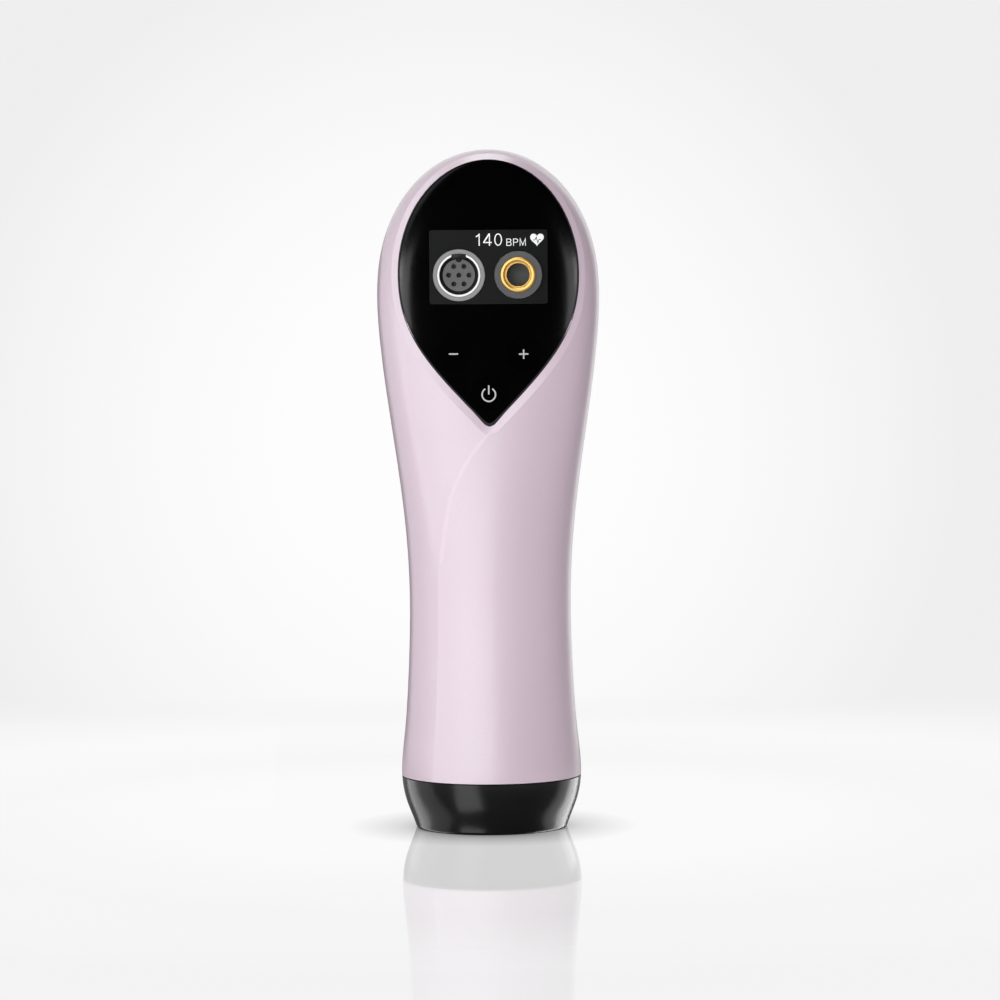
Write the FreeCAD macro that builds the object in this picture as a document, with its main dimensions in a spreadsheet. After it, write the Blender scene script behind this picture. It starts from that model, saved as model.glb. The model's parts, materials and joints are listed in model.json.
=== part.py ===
import FreeCAD, Part
import math
import os
import re
import Sketcher
from FreeCAD import Placement, Rotation, Vector

# Hand-held fetal doppler monitor. Millimetres. +Z is up from the sole of the probe,
# the teardrop control panel faces -Y and +X is to the right of someone facing it.
# The two case halves meet on the plane Y = 0.

driving_sizes = [
    # outline of the case
    ("body_height", 160.0, "sole to crown"),
    ("crown_rise", 33.0, "crown above the widest level of the head"),
    ("waist_level", 52.0, "narrowest level of the grip"),
    ("seam_level", 12.5, "top of the black probe cap"),
    ("base_half_width", 21.2, "half width at the cap seam"),
    ("waist_half_width", 19.0, "half width of the grip"),
    ("head_half_width", 26.1, "half width of the head"),
    ("base_depth", 19.0, "front and back depth at the cap seam"),
    ("waist_front", 15.0, "front depth of the grip"),
    ("waist_back", 16.0, "back depth of the grip"),
    ("head_front", 13.5, "front depth of the head"),
    ("head_back", 15.5, "back depth of the head"),
    ("sole_taper", 3.4, "how far the cap draws in towards its sole"),
    ("sole_edge", 0.8, "rounding of the sole edge"),
    ("sole_curve", 1.6, "how late the cap draws in"),
    ("base_curve", 0.7, "how soon the grip narrows above the cap"),
    ("shoulder_curve", 1.12, "how late the grip widens to the head"),
    ("crown_curve", 2.05, "crown seen from the front, 2 for an ellipse"),
    ("crown_front_curve", 5.0, "crown front seen from the side"),
    ("crown_back_curve", 2.3, "crown back seen from the side"),
    ("crown_flat", 0.01, "flattening of the very top"),
    ("grip_fullness", 0.56, "squareness of the grip sections"),
    ("head_front_fullness", 0.72, "squareness of the head sections in front"),
    ("head_back_fullness", 0.62, "squareness of the head sections behind"),
    # crease that sweeps up the left of the grip to the tip of the panel
    ("crease_offset", 12.4, "crease from the centre line at the waist"),
    ("crease_end", 7.8, "crease from the centre line under the panel"),
    ("crease_sweep", 12.4, "end of the sweep above the tip of the panel"),
    ("crease_curve", 1.6, "how late the crease turns"),
    ("crease_depth", 0.2, "fall of the surface beside the crease"),
    ("crease_fade", 8.0, "length over which the crease dies out at the tip"),
    # walls and clearances
    ("wall", 2.4, "case wall"),
    ("cap_wall", 3.2, "probe cap wall"),
    ("parting_gap", 0.12, "gap between the case halves"),
    ("seam_gap", 0.25, "gap between the case and the cap"),
    ("fit", 0.1, "clearance of pieces that drop into place"),
    ("glue_gap", 0.2, "adhesive layer"),
    ("cutter_margin", 10.0, "cutting solids beyond what they cut"),
    # teardrop panel
    ("lens_margin", 5.25, "case beside the panel at its widest"),
    ("lens_rim", 2.35, "case above the top of the panel"),
    ("lens_rise", 26.5, "widest point of the panel up to its top"),
    ("lens_drop", 35.35, "from there down to its tip"),
    ("lens_tip_radius", 0.8, "tip radius"),
    ("lens_shoulder", 14.0, "reach of the flank curve's handles"),
    ("lens_lean", 0.97, "sideways lean of the lower handle"),
    ("lens_sink", 0.5, "panel face below the case surface"),
    ("lens_thickness", 1.1, "panel thickness"),
    ("rim_width", 2.1, "sloping rim round the panel"),
    ("rim_drop", 0.45, "sloping rim round the panel"),
    ("window_width", 27.5, "smoked window"),
    ("window_height", 17.25, "smoked window"),
    ("window_rise", 1.65, "window centre above the panel's widest point"),
    ("window_corner", 0.6, "window corner radius"),
    ("window_thickness", 0.6, "smoked window"),
    # sockets
    ("socket_drop", 1.85, "both sockets below the window centre"),
    ("socket_offset", 6.9, "both sockets from the centre line"),
    ("socket_stand", 0.3, "front of the socket rings beyond the panel"),
    ("socket_flange", 1.4, "thickness of the socket rings"),
    ("socket_radius", 6.0, "steel ring of the contact socket"),
    ("barrel_radius", 5.0, "steel barrel of the contact socket"),
    ("barrel_wall", 0.45, "steel barrel of the contact socket"),
    ("barrel_stand", 0.2, "barrel lip in front of its ring"),
    ("barrel_clearance", 0.3, "sockets in front of the panel board"),
    ("insert_radius", 3.75, "contact insert"),
    ("insert_sink", 0.7, "insert face below the barrel lip"),
    ("pin_circle", 2.35, "radius of the contact circle"),
    ("pin_radius", 0.55, "contact holes"),
    ("pin_depth", 3.4, "contact holes"),
    ("contact_sink", 2.0, "contacts below the insert face"),
    ("key_notch", 3.4, "keying notch in the barrel lip"),
    ("insert_notch", 0.75, "radius of the notch in the insert"),
    ("washer_radius", 5.5, "dark washer of the jack"),
    ("jack_radius", 4.1, "gilt ring of the jack"),
    ("jack_bore", 2.65, "jack bore radius"),
    ("jack_lip", 0.55, "inner gilt ring"),
    ("jack_groove", 0.12, "groove between the gilt rings"),
    ("jack_end", 0.9, "closed end of the jack"),
    # keys
    ("key_radius", 3.8, "key caps"),
    ("key_gap", 0.12, "gap round a key cap"),
    ("key_drop", 18.4, "minus and plus keys below the panel's widest point"),
    ("key_offset", 8.1, "minus and plus keys from the centre line"),
    ("power_drop", 9.2, "power key below the other two"),
    ("key_collar_height", 1.0, "collars that stop the key flanges"),
    ("key_flange", 0.8, "flange thickness"),
    ("key_flange_rim", 1.0, "flange beyond the cap"),
    ("plunger_radius", 1.4, "switch plungers"),
    ("switch_width", 5.2, "switch housings"),
    ("switch_height", 2.6, "switch housings"),
    ("switch_bore_depth", 1.2, "plunger bore in the housing"),
    ("plunger_free", 0.5, "plunger end to the bottom of its bore"),
    # display
    ("display_side_gap", 0.9, "display strip beside the board posts"),
    ("display_height", 4.2, "display strip"),
    ("display_rise", 6.0, "display strip above the window centre"),
    ("display_gap", 1.6, "display strip behind the panel"),
    ("display_thickness", 1.4, "display strip"),
    ("frame_wall", 0.8, "display holder"),
    # boards
    ("panel_board_drop", 5.1, "front of the panel board behind the case wall"),
    ("board_thickness", 1.0, "panel board"),
    ("main_board_front", 1.0, "front of the main board"),
    ("main_board_thickness", 1.2, "main board"),
    ("board_margin", 7.3, "both boards inside the head at its widest"),
    ("board_rise", 12.0, "board top above the panel's widest point"),
    ("board_height", 48.0, "both boards"),
    ("board_chamfer", 2.0, "cut corners of both boards"),
    ("post_radius", 2.3, "board posts and spacers"),
    ("post_inset", 3.0, "board posts from the board ends"),
    ("post_side_inset", 2.1, "board posts from the board sides"),
    ("board_screw_radius", 0.8, "board screws"),
    ("board_screw_head", 1.6, "board screw head radius"),
    ("board_screw_grip", 2.4, "board screws in the posts"),
    ("pilot_relief", 1.0, "pilot holes beyond the board screws"),
    ("chip_height", 1.1, "chips"),
    ("processor_width", 9.0, "processor"),
    ("amplifier_width", 5.0, "amplifier"),
    ("connector_length", 14.0, "board to board connector"),
    ("connector_width", 3.4, "board to board connector"),
    # case screws
    ("boss_radius", 3.2, "screw bosses"),
    ("case_screw_radius", 1.1, "case screws"),
    ("case_screw_head", 2.1, "case screw head radius"),
    ("case_screw_head_height", 1.5, "case screw heads"),
    ("case_screw_seat", 3.0, "screw seats behind the parting plane"),
    ("case_screw_grip", 6.5, "case screws in the front bosses"),
    ("crown_screw_drop", 11.4, "upper case screws below the crown"),
    ("crown_screw_inset", 12.6, "upper case screws inside the head at its widest"),
    ("grip_screw_rise", 5.9, "lower case screws above the battery tray"),
    ("grip_screw_inset", 4.2, "lower case screws inside the grip at its narrowest"),
    # speaker
    ("speaker_radius", 15.0, "speaker flange"),
    ("speaker_drop", 6.5, "speaker centre below the panel's widest point"),
    ("speaker_room", 2.9, "speaker flange in front of the back wall"),
    ("speaker_flange", 1.2, "speaker flange"),
    ("speaker_depth", 3.8, "basket depth below the flange"),
    ("speaker_sheet", 1.2, "basket material"),
    ("magnet_radius", 6.5, "speaker magnet"),
    ("magnet_height", 2.4, "speaker magnet"),
    ("cone_sheet", 0.4, "speaker cone"),
    ("mesh_thickness", 0.2, "speaker cloth"),
    ("well_wall", 1.6, "speaker well"),
    ("well_overlap", 2.0, "speaker well in front of the speaker flange"),
    ("grille_radius", 11.5, "grille"),
    ("slot_pitch", 3.2, "grille slots"),
    ("slot_height", 1.4, "grille slots"),
    ("slot_count", 7, "grille slots"),
    # battery bay
    ("cell_radius", 7.25, "battery cells"),
    ("cell_length", 49.5, "battery cells"),
    ("cell_nub", 1.0, "positive nubs"),
    ("cell_nub_radius", 2.75, "positive nubs"),
    ("cell_gap", 0.5, "between the cells"),
    ("cell_depth", 2.8, "cell axes behind the parting plane"),
    ("cell_clearance", 0.3, "round the cells"),
    ("tray_bottom", 20.0, "battery tray"),
    ("tray_wall", 1.6, "battery tray"),
    ("spring_length", 3.2, "battery springs"),
    ("spring_width", 4.0, "battery springs"),
    ("plate_thickness", 0.3, "battery contact plates"),
    ("plate_width", 10.0, "battery contact plates"),
    ("door_clearance", 0.25, "battery door beyond the cells at each side"),
    ("door_margin", 1.2, "door beyond the tray at each end"),
    ("door_gap", 0.15, "gap round the battery door"),
    ("grip_rib_count", 5, "thumb ribs on the door"),
    ("grip_rib_pitch", 2.4, "thumb ribs"),
    ("grip_rib_depth", 0.5, "thumb ribs"),
    ("grip_rib_length", 12.0, "thumb ribs"),
    ("grip_rib_width", 1.2, "thumb ribs"),
    ("grip_rib_drop", 5.2, "top thumb rib below the top of the tray"),
    # probe
    ("cap_floor", 2.0, "floor of the probe cap"),
    ("spigot_height", 5.0, "spigot above the seam"),
    ("spigot_wall", 1.4, "spigot"),
    ("face_margin", 7.3, "case depth at the cap seam beyond the acoustic face"),
    ("face_rim", 1.4, "flange of the acoustic face"),
    ("face_flange", 0.8, "flange of the acoustic face"),
    ("seal_height", 0.8, "seal ring"),
    ("crystal_margin", 3.0, "acoustic face beyond the crystals"),
    ("crystal_split", 1.4, "gap between the crystals"),
    ("crystal_thickness", 0.9, "crystals"),
    ("backing_height", 4.5, "backing blocks"),
    ("carrier_wall", 1.4, "crystal carrier"),
]

# Where pieces lie, each worked out from what carries it.
derived_places = {
    "head_level": "body_height - crown_rise",
    "lens_half_width": "head_half_width - lens_margin",
    "lens_level": "body_height - lens_rim - lens_rise",
    "lens_tip": "lens_level - lens_drop",
    "window_level": "lens_level + window_rise",
    "socket_level": "window_level - socket_drop",
    "socket_face": "head_front - lens_sink + socket_stand",
    "display_level": "window_level + display_rise",
    "display_face": "head_front - lens_sink - lens_thickness - display_gap",
    "key_level": "lens_level - key_drop",
    "power_level": "key_level - power_drop",
    "key_collar": "head_front - wall - key_collar_height",
    "panel_board_front": "head_front - wall - panel_board_drop",
    "barrel_back": "panel_board_front + barrel_clearance",
    "board_half_width": "head_half_width - board_margin",
    "board_top": "lens_level + board_rise",
    "board_bottom": "board_top - board_height",
    "post_offset": "board_half_width - post_side_inset",
    "post_low": "board_bottom + post_inset",
    "post_high": "board_top - post_inset",
    "display_width": "2 * (post_offset - post_radius - display_side_gap)",
    "speaker_level": "lens_level - speaker_drop",
    "speaker_face": "head_back - wall - speaker_room",
    "cell_spacing": "2 * cell_radius + cell_gap",
    "tray_length": "cell_length + cell_nub + spring_length + 2 * (tray_wall + plate_thickness + fit)",
    "door_half_width": "cell_spacing / 2 + cell_radius + door_clearance",
    "crown_screw_level": "body_height - crown_screw_drop",
    "crown_screw_offset": "head_half_width - crown_screw_inset",
    "grip_screw_level": "tray_bottom + tray_length + grip_screw_rise",
    "grip_screw_offset": "waist_half_width - grip_screw_inset",
    "face_radius": "base_depth - face_margin",
    "crystal_radius": "face_radius - crystal_margin",
}

doc = FreeCAD.newDocument("fetal_doppler")
sheet = doc.addObject("Spreadsheet::Sheet", "sizes")
places = doc.addObject("Spreadsheet::Sheet", "places")


def linked(text):
    """Expression text with every alias written out with its sheet."""
    def full_name(match):
        return ("places." if match.group() in derived_places else "sizes.") + match.group()
    return re.sub(r"[a-z_]{2,}", full_name, text)


for row, (alias, value, meaning) in enumerate(driving_sizes, start=1):
    sheet.set(f"A{row}", meaning)
    sheet.set(f"B{row}", str(value))
    sheet.setAlias(f"B{row}", alias)
for row, (alias, text) in enumerate(derived_places.items(), start=1):
    places.set(f"A{row}", alias.replace("_", " "))
    places.set(f"B{row}", "=" + linked(text))
    places.setAlias(f"B{row}", alias)
doc.recompute()

turn_front = Rotation(Vector(1, 0, 0), 90)
turn_back = Rotation(Vector(1, 0, 0), -90)
upright = Rotation()
upside_down = Rotation(Vector(1, 0, 0), 180)
far = 100.0
tolerance = 0.01
sub_parts = []


def size(alias):
    return float((places if alias in derived_places else sheet).get(alias))


def bind(item, **values):
    for path, text in values.items():
        item.setExpression(path, linked(text))
    return item


def seat(item, x="0", y="0", z="0", turn=upright):
    item.Placement = Placement(Vector(), turn)
    for axis, text in (("x", x), ("y", y), ("z", z)):
        item.setExpression(f".Placement.Base.{axis}", linked(text))
    return item


def finished(item, label):
    item.Label = label
    sub_parts.append(item)
    return item


# ---------------------------------------------------------------- sketches and bodies

def new_body(label):
    return doc.addObject("PartDesign::Body", label)


def new_sketch(body, name, plane="XY_Plane"):
    sketch = body.newObject("Sketcher::SketchObject", name)
    origin = [item for item in body.Origin.OriginFeatures if item.Role == plane][0]
    sketch.AttachmentSupport = [(origin, "")]
    sketch.MapMode = "FlatFace"
    return sketch


def pin_point(sketch, shape, point, x, y):
    """Hold one point of the sketch at (x, y), each a sheet expression."""
    for kind, axis, text in (("DistanceX", -2, x), ("DistanceY", -1, y)):
        if text == "0":
            sketch.addConstraint(Sketcher.Constraint("PointOnObject", shape, point, axis))
            continue
        start = getattr(sketch.getPoint(shape, point), kind[-1].lower())
        index = sketch.addConstraint(Sketcher.Constraint(kind, -1, 1, shape, point, start))
        sketch.setExpression(f"Constraints[{index}]", linked(text))


def draw_polygon(sketch, corners):
    """Closed outline through corners given as pairs of sheet expressions."""
    count = len(corners)
    start = [Vector(20 + 9 * math.cos(2 * math.pi * i / count), 20 + 9 * math.sin(2 * math.pi * i / count), 0)
             for i in range(count)]
    lines = [sketch.addGeometry(Part.LineSegment(start[i], start[(i + 1) % count])) for i in range(count)]
    for i in range(count):
        sketch.addConstraint(Sketcher.Constraint("Coincident", lines[i], 2, lines[(i + 1) % count], 1))
    for line, (x, y) in zip(lines, corners):
        pin_point(sketch, line, 1, x, y)


def draw_circle(sketch, radius, x="0", y="0"):
    circle = sketch.addGeometry(Part.Circle(Vector(3, 3, 0), Vector(0, 0, 1), 1))
    pin_point(sketch, circle, 3, x, y)
    index = sketch.addConstraint(Sketcher.Constraint("Radius", circle, 1))
    sketch.setExpression(f"Constraints[{index}]", linked(radius))


def draw_rectangle(sketch, left, right, low, high):
    draw_polygon(sketch, [(left, low), (right, low), (right, high), (left, high)])


def turned(label, profile, name=None):
    """Body revolved about its own Z axis from a (radius, height) outline."""
    body = new_body(name or label)
    sketch = new_sketch(body, label + "_profile", "XZ_Plane")
    draw_polygon(sketch, profile)
    revolution = body.newObject("PartDesign::Revolution", label + "_turn")
    revolution.Profile = sketch
    revolution.ReferenceAxis = (sketch, ["V_Axis"])
    revolution.Angle = 360
    return body


def tube(label, inner, outer, length):
    return turned(label, [(inner, "0"), (outer, "0"), (outer, length), (inner, length)])


def padded(label, thickness, draw):
    """Body padded along its own +Z from the outline that draw puts in its sketch."""
    body = new_body(label)
    sketch = new_sketch(body, label + "_outline")
    draw(sketch)
    pad = body.newObject("PartDesign::Pad", label + "_pad")
    pad.Profile = sketch
    pad.setExpression("Length", linked(thickness))
    return body


def primitive_cylinder(name, radius, length, angle=360):
    cylinder = doc.addObject("Part::Cylinder", name)
    cylinder.Angle = angle
    return bind(cylinder, Radius=radius, Height=length)


def primitive_box(name, width, depth, height):
    box = doc.addObject("Part::Box", name)
    return bind(box, Length=width, Width=depth, Height=height)


def boolean(kind, name, base, tool):
    item = doc.addObject("Part::" + kind, name)
    item.Base = base
    item.Tool = tool
    return item


def joined(name, items):
    """Separate solids kept together as one sub-part."""
    group = doc.addObject("Part::Compound", name)
    group.Links = items
    return group


# ---------------------------------------------------------------- outer form of the case

def smooth_step(share):
    share = min(1.0, max(0.0, share))
    return share * share * (3 - 2 * share)


def reach(level, at_base, at_waist, at_head, inset, crown_curve):
    """Distance from the centre line to the surface at one level, less the inset."""
    seam, waist, head = size("seam_level"), size("waist_level"), size("head_level")
    if level <= seam:
        drawn_in = (1 - max(level, 0) / seam) ** size("sole_curve")
        return at_base - size("sole_taper") * drawn_in - inset
    if level <= waist:
        share = smooth_step(((level - seam) / (waist - seam)) ** size("base_curve"))
        return at_base + (at_waist - at_base) * share - inset
    if level <= head:
        share = smooth_step(((level - waist) / (head - waist)) ** size("shoulder_curve"))
        return at_waist + (at_head - at_waist) * share - inset
    share = (level - head) / (size("body_height") + size("crown_flat") - inset - head)
    return (at_head - inset) * max(0.0, 1 - share ** crown_curve) ** (1 / crown_curve)


def half_section(width, depth, fullness, level, side):
    """Half of a section: two tangent cubic arcs from the right seam to the left seam."""
    poles = [
        Vector(width, 0, level),
        Vector(width, side * fullness * depth, level),
        Vector(fullness * width, side * depth, level),
        Vector(-fullness * width, side * depth, level),
        Vector(-width, side * fullness * depth, level),
        Vector(-width, 0, level),
    ]
    curve = Part.BSplineCurve()
    curve.buildFromPolesMultsKnots(poles, [4, 2, 4], [0, 1, 2], False, 3)
    return curve


def section_halves(level, inset):
    width = reach(level, size("base_half_width"), size("waist_half_width"), size("head_half_width"), inset,
                  size("crown_curve"))
    front = reach(level, size("base_depth"), size("waist_front"), size("head_front"), inset,
                  size("crown_front_curve"))
    back = reach(level, size("base_depth"), size("waist_back"), size("head_back"), inset,
                 size("crown_back_curve"))
    rise = smooth_step((level - size("waist_level")) / (size("head_level") - size("waist_level")))
    grip = size("grip_fullness")
    front_fullness = grip + (size("head_front_fullness") - grip) * rise
    back_fullness = grip + (size("head_back_fullness") - grip) * rise
    return half_section(width, front, front_fullness, level, -1), half_section(width, back, back_fullness, level, 1)


def section_levels(bottom, crown, head_shares):
    seam, waist, head = size("seam_level"), size("waist_level"), size("head_level")
    dome = crown + size("crown_flat") - head
    levels = [seam / 2, seam]
    levels += [seam + share * (waist - seam) for share in (0.24, 0.6, 1.0)]
    levels += [waist + share * (head - waist) for share in head_shares]
    levels += [head + dome * math.sin(math.radians(angle)) for angle in (18, 36, 52, 66, 77, 85)]
    return [bottom] + [level for level in levels if level > bottom + 1] + [crown]


def form(inset, bottom=0.0, ruled=False):
    """Solid of the case surface moved inwards by the inset, from one level up to the crown."""
    crown = size("body_height") - inset
    sections = []
    for level in section_levels(bottom, crown, (0.19, 0.37, 0.59, 0.8, 1.0)):
        front, back = section_halves(level, inset)
        sections.append(Part.Wire([front.toShape(), back.toShape()]))
    return Part.makeLoft(sections, True, ruled)


def inner_form(inset, bottom=0.0):
    """Hidden inner surface, straight from one section to the next."""
    return form(inset, bottom, True)


def crease_share(level):
    """Place of the crease across a section, as a share of the half width."""
    waist = size("waist_level")
    run = size("lens_tip") + size("crease_sweep") - waist
    start = -size("crease_offset") / size("waist_half_width")
    end = size("crease_end") / size("head_half_width")
    rise = (max(0.0, level - waist) / run) ** size("crease_curve")
    return start + (end - start) * smooth_step(rise)


def crease_fall(level):
    """Fall of the surface beside the crease, nothing at the sole and at the tip of the panel."""
    fading = smooth_step(1 + (level - size("lens_tip")) / size("crease_fade"))
    return size("crease_depth") * smooth_step(level / size("waist_level")) * (1 - fading)


def curve_piece(curve, first, last, fall):
    """Piece of a section curve that falls inwards beside its first end and rejoins it at its last."""
    steepest = 27 / 4
    length = last - first
    shares = [step / 8 for step in range(9)]
    points = []
    for share in shares:
        drop = fall * steepest * share * (1 - share) ** 2
        points.append(curve.value(first + length * share) + Vector(0, drop, 0))
    start = curve.getD1(first)[1] * length + Vector(0, fall * steepest, 0)
    end = curve.getD1(last)[1] * length
    piece = Part.BSplineCurve()
    piece.interpolate(Points=points, Parameters=shares, InitialTangent=start, FinalTangent=end, Scale=False)
    return piece.toShape()


def parameter_at(curve, x):
    """Parameter where a section curve, which runs from right to left, crosses x."""
    low, high = curve.FirstParameter, curve.LastParameter
    while high - low > 1e-9:
        middle = (low + high) / 2
        if curve.value(middle).x > x:
            low = middle
        else:
            high = middle
    return low


def creased_form():
    """Solid of the case surface with the crease that sweeps up its left to the tip of the panel."""
    crown = size("body_height")
    sections = []
    for level in section_levels(0.0, crown, (0.19, 0.28, 0.37, 0.45, 0.52, 0.59, 0.66, 0.73, 0.8, 1.0)):
        front, back = section_halves(level, 0)
        cut = parameter_at(front, crease_share(level) * front.StartPoint.x)
        right = curve_piece(front, front.FirstParameter, cut, 0)
        left = curve_piece(front, cut, front.LastParameter, crease_fall(level))
        sections.append(Part.Wire([right, left, back.toShape()]))
    return Part.makeLoft(sections, True)


def block(x_low, x_high, y_low, y_high, z_low, z_high):
    corner = Vector(x_low, y_low, z_low)
    return Part.makeBox(x_high - x_low, y_high - y_low, z_high - z_low, corner)


def rod(radius, x, z, y_low, y_high):
    """Cylinder along Y."""
    return Part.makeCylinder(radius, y_high - y_low, Vector(x, y_low, z), Vector(0, 1, 0))


def shaped(label, shape):
    item = doc.addObject("Part::Feature", label)
    item.Shape = shape
    return finished(item, label)


# ---------------------------------------------------------------- panel outlines

def teardrop(spread):
    """Prism of the panel outline, spread outwards, through the front half of the case."""
    width = size("lens_half_width") + spread
    level = size("lens_level")
    top = level + size("lens_rise") + spread
    tip = size("lens_tip") - spread * math.sqrt(2)
    flank = size("lens_tip_radius") / math.sqrt(2)
    handle = size("lens_shoulder")

    def flank_curve(side):
        poles = [
            Vector(side * width, -far, level),
            Vector(side * width, -far, level - handle),
            Vector(side * (flank + size("lens_lean") * handle), -far, tip + flank + handle),
            Vector(side * flank, -far, tip + flank),
        ]
        curve = Part.BezierCurve()
        curve.setPoles(poles)
        return curve.toShape()

    tip_low = Vector(0, -far, tip + flank * (math.sqrt(2) - 1) * math.sqrt(2))
    nose = Part.Arc(Vector(flank, -far, tip + flank), tip_low, Vector(-flank, -far, tip + flank))
    centre = Vector(0, -far, level)
    ellipse = Part.Ellipse(Vector(0, -far, top), Vector(width, -far, level), centre)
    ends = sorted(ellipse.parameter(Vector(side * width, -far, level)) for side in (-1, 1))
    dome = Part.ArcOfEllipse(ellipse, ends[1] - 2 * math.pi, ends[0])
    edges = [flank_curve(1), nose.toShape(), flank_curve(-1), dome.toShape()]
    wire = Part.Wire(Part.__sortEdges__(edges))
    return Part.Face(wire).extrude(Vector(0, far, 0))


def window_prism(spread):
    half_width = size("window_width") / 2 + spread
    half_height = size("window_height") / 2 + spread
    level = size("window_level")
    prism = block(-half_width, half_width, -far, 0, level - half_height, level + half_height)
    upright_edges = [edge for edge in prism.Edges if abs(edge.tangentAt(0).y) > 0.9]
    return prism.makeFillet(size("window_corner") + spread, upright_edges)


def key_places():
    offset, level = size("key_offset"), size("key_level")
    return {
        "minus": (-offset, level),
        "plus": (offset, level),
        "power": (0.0, size("power_level")),
    }


def socket_holes(clearance):
    level, offset = size("socket_level"), size("socket_offset")
    return [
        rod(size("socket_radius") + clearance, -offset, level, -far, 0),
        rod(size("washer_radius") + clearance, offset, level, -far, 0),
    ]


def key_holes(clearance):
    return [rod(size("key_radius") + clearance, x, z, -far, 0) for x, z in key_places().values()]


# ---------------------------------------------------------------- case

def case_screw_places():
    places = []
    for side in (-1, 1):
        places.append((side * size("crown_screw_offset"), size("crown_screw_level")))
        places.append((side * size("grip_screw_offset"), size("grip_screw_level")))
    return places


def post_places():
    offset = size("post_offset")
    return [(side * offset, size(level)) for side in (-1, 1) for level in ("post_low", "post_high")]


def shell_half(outer, inner, side):
    gap = size("parting_gap") / 2
    half_space = block(-far, far, gap, far, 0, 2 * far) if side > 0 else block(-far, far, -far, -gap, 0, 2 * far)
    return outer.cut(inner).common(half_space)


def build_front_shell(outer, inner, stud_limit):
    gap = size("parting_gap") / 2
    shell = shell_half(outer, inner, -1)
    studs = [rod(size("boss_radius"), x, z, -far, -gap) for x, z in case_screw_places()]
    studs += [rod(size("post_radius"), x, z, -far, -size("panel_board_front")) for x, z in post_places()]
    collar = size("key_collar")
    collar_radius = size("key_radius") + size("key_flange_rim")
    studs += [rod(collar_radius, x, z, -far, -collar) for x, z in key_places().values()]
    studs = [stud.common(stud_limit) for stud in studs]
    shell = shell.fuse(studs)

    floor_inset = size("lens_sink") + size("lens_thickness") + size("glue_gap")
    recess = teardrop(size("fit")).cut(inner_form(floor_inset, size("lens_tip") - size("cutter_margin")))
    shell = shell.cut(recess)
    lip = [edge for edge in shell.Edges if is_lip_edge(edge, outer, recess)]
    shell = shell.makeChamfer(size("rim_width"), size("rim_drop"), lip)

    holes = key_holes(2 * size("key_gap"))
    level, offset = size("socket_level"), size("socket_offset")
    holes.append(rod(size("barrel_radius") + size("fit"), -offset, level, -far, 0))
    holes.append(rod(size("jack_radius") + size("fit"), offset, level, -far, 0))
    half_width = size("display_width") / 2 + 3 * size("fit")
    half_height = size("display_height") / 2 + 3 * size("fit")
    display = size("display_level")
    holes.append(block(-half_width, half_width, -far, 0, display - half_height, display + half_height))
    pilot = size("case_screw_radius") + size("fit") / 2
    reach_in = size("case_screw_grip") + size("case_screw_head_height")
    holes += [rod(pilot, x, z, -reach_in, 0) for x, z in case_screw_places()]
    pilot = size("board_screw_radius") + size("fit") / 2
    board = size("panel_board_front")
    deep = board + size("board_screw_grip") + size("pilot_relief")
    holes += [rod(pilot, x, z, -deep, 0) for x, z in post_places()]
    return shaped("front_shell", shell.cut(holes))


def is_lip_edge(edge, outer, recess):
    middle = Part.Vertex(edge.valueAt((edge.FirstParameter + edge.LastParameter) / 2))
    return all(form.Shells[0].distToShape(middle)[0] < tolerance for form in (outer, recess))


def door_block(spread):
    """Rectangular prism of the battery door through the back of the case."""
    half_width = size("door_half_width") + spread
    low = size("tray_bottom") - size("door_margin") - spread
    high = size("tray_bottom") + size("tray_length") + size("door_margin") + spread
    return block(-half_width, half_width, size("cell_depth"), far, low, high)


def grille_slots():
    """Rows of round-ended slots that fill a circle."""
    radius, height, level = size("grille_radius"), size("slot_height"), size("speaker_level")
    count = int(size("slot_count"))
    slots = []
    for row in range(count):
        rise = (row - (count - 1) / 2) * size("slot_pitch")
        half_length = math.sqrt(max(radius ** 2 - rise ** 2, height ** 2)) - height / 2
        low = level + rise - height / 2
        slot = block(-half_length, half_length, 0, far, low, low + height)
        ends = [rod(height / 2, side * half_length, level + rise, 0, far) for side in (-1, 1)]
        slots.append(slot.fuse(ends))
    return slots


def build_rear_shell(outer, inner, stud_limit):
    gap = size("parting_gap") / 2
    level = size("speaker_level")
    shell = shell_half(outer, inner, 1)
    studs = [rod(size("boss_radius"), x, z, gap, far) for x, z in case_screw_places()]
    well = size("speaker_radius") + size("glue_gap")
    face = size("speaker_face")
    well_front = face - size("speaker_flange") - size("well_overlap")
    well_ring = rod(well + size("well_wall"), 0, level, well_front, far)
    well_ring = well_ring.cut(rod(well, 0, level, 0, face + size("glue_gap")))
    well_ring = well_ring.cut(rod(well - size("well_wall"), 0, level, 0, far))
    studs = [stud.common(stud_limit) for stud in studs + [well_ring]]
    shell = shell.fuse(studs).cut(door_block(size("door_gap")))

    holes = grille_slots()
    bore = size("case_screw_radius") + size("fit")
    holes += [rod(bore, x, z, 0, far) for x, z in case_screw_places()]
    counterbore = size("case_screw_head") + 2 * size("fit")
    holes += [rod(counterbore, x, z, size("case_screw_seat"), far) for x, z in case_screw_places()]
    return shaped("rear_shell", shell.cut(holes))


def build_battery_door(outer, inner):
    door = outer.cut(inner).common(door_block(0))
    top = size("tray_bottom") + size("tray_length") - size("grip_rib_drop")
    half, half_rib = size("grip_rib_length") / 2, size("grip_rib_width") / 2
    surface = size("waist_back")
    grooves = []
    for rib in range(int(size("grip_rib_count"))):
        level = top - rib * size("grip_rib_pitch")
        low, high = level - half_rib, level + half_rib
        grooves.append(block(-half, half, surface - size("grip_rib_depth"), far, low, high))
    return shaped("battery_door", door.cut(grooves))


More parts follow.
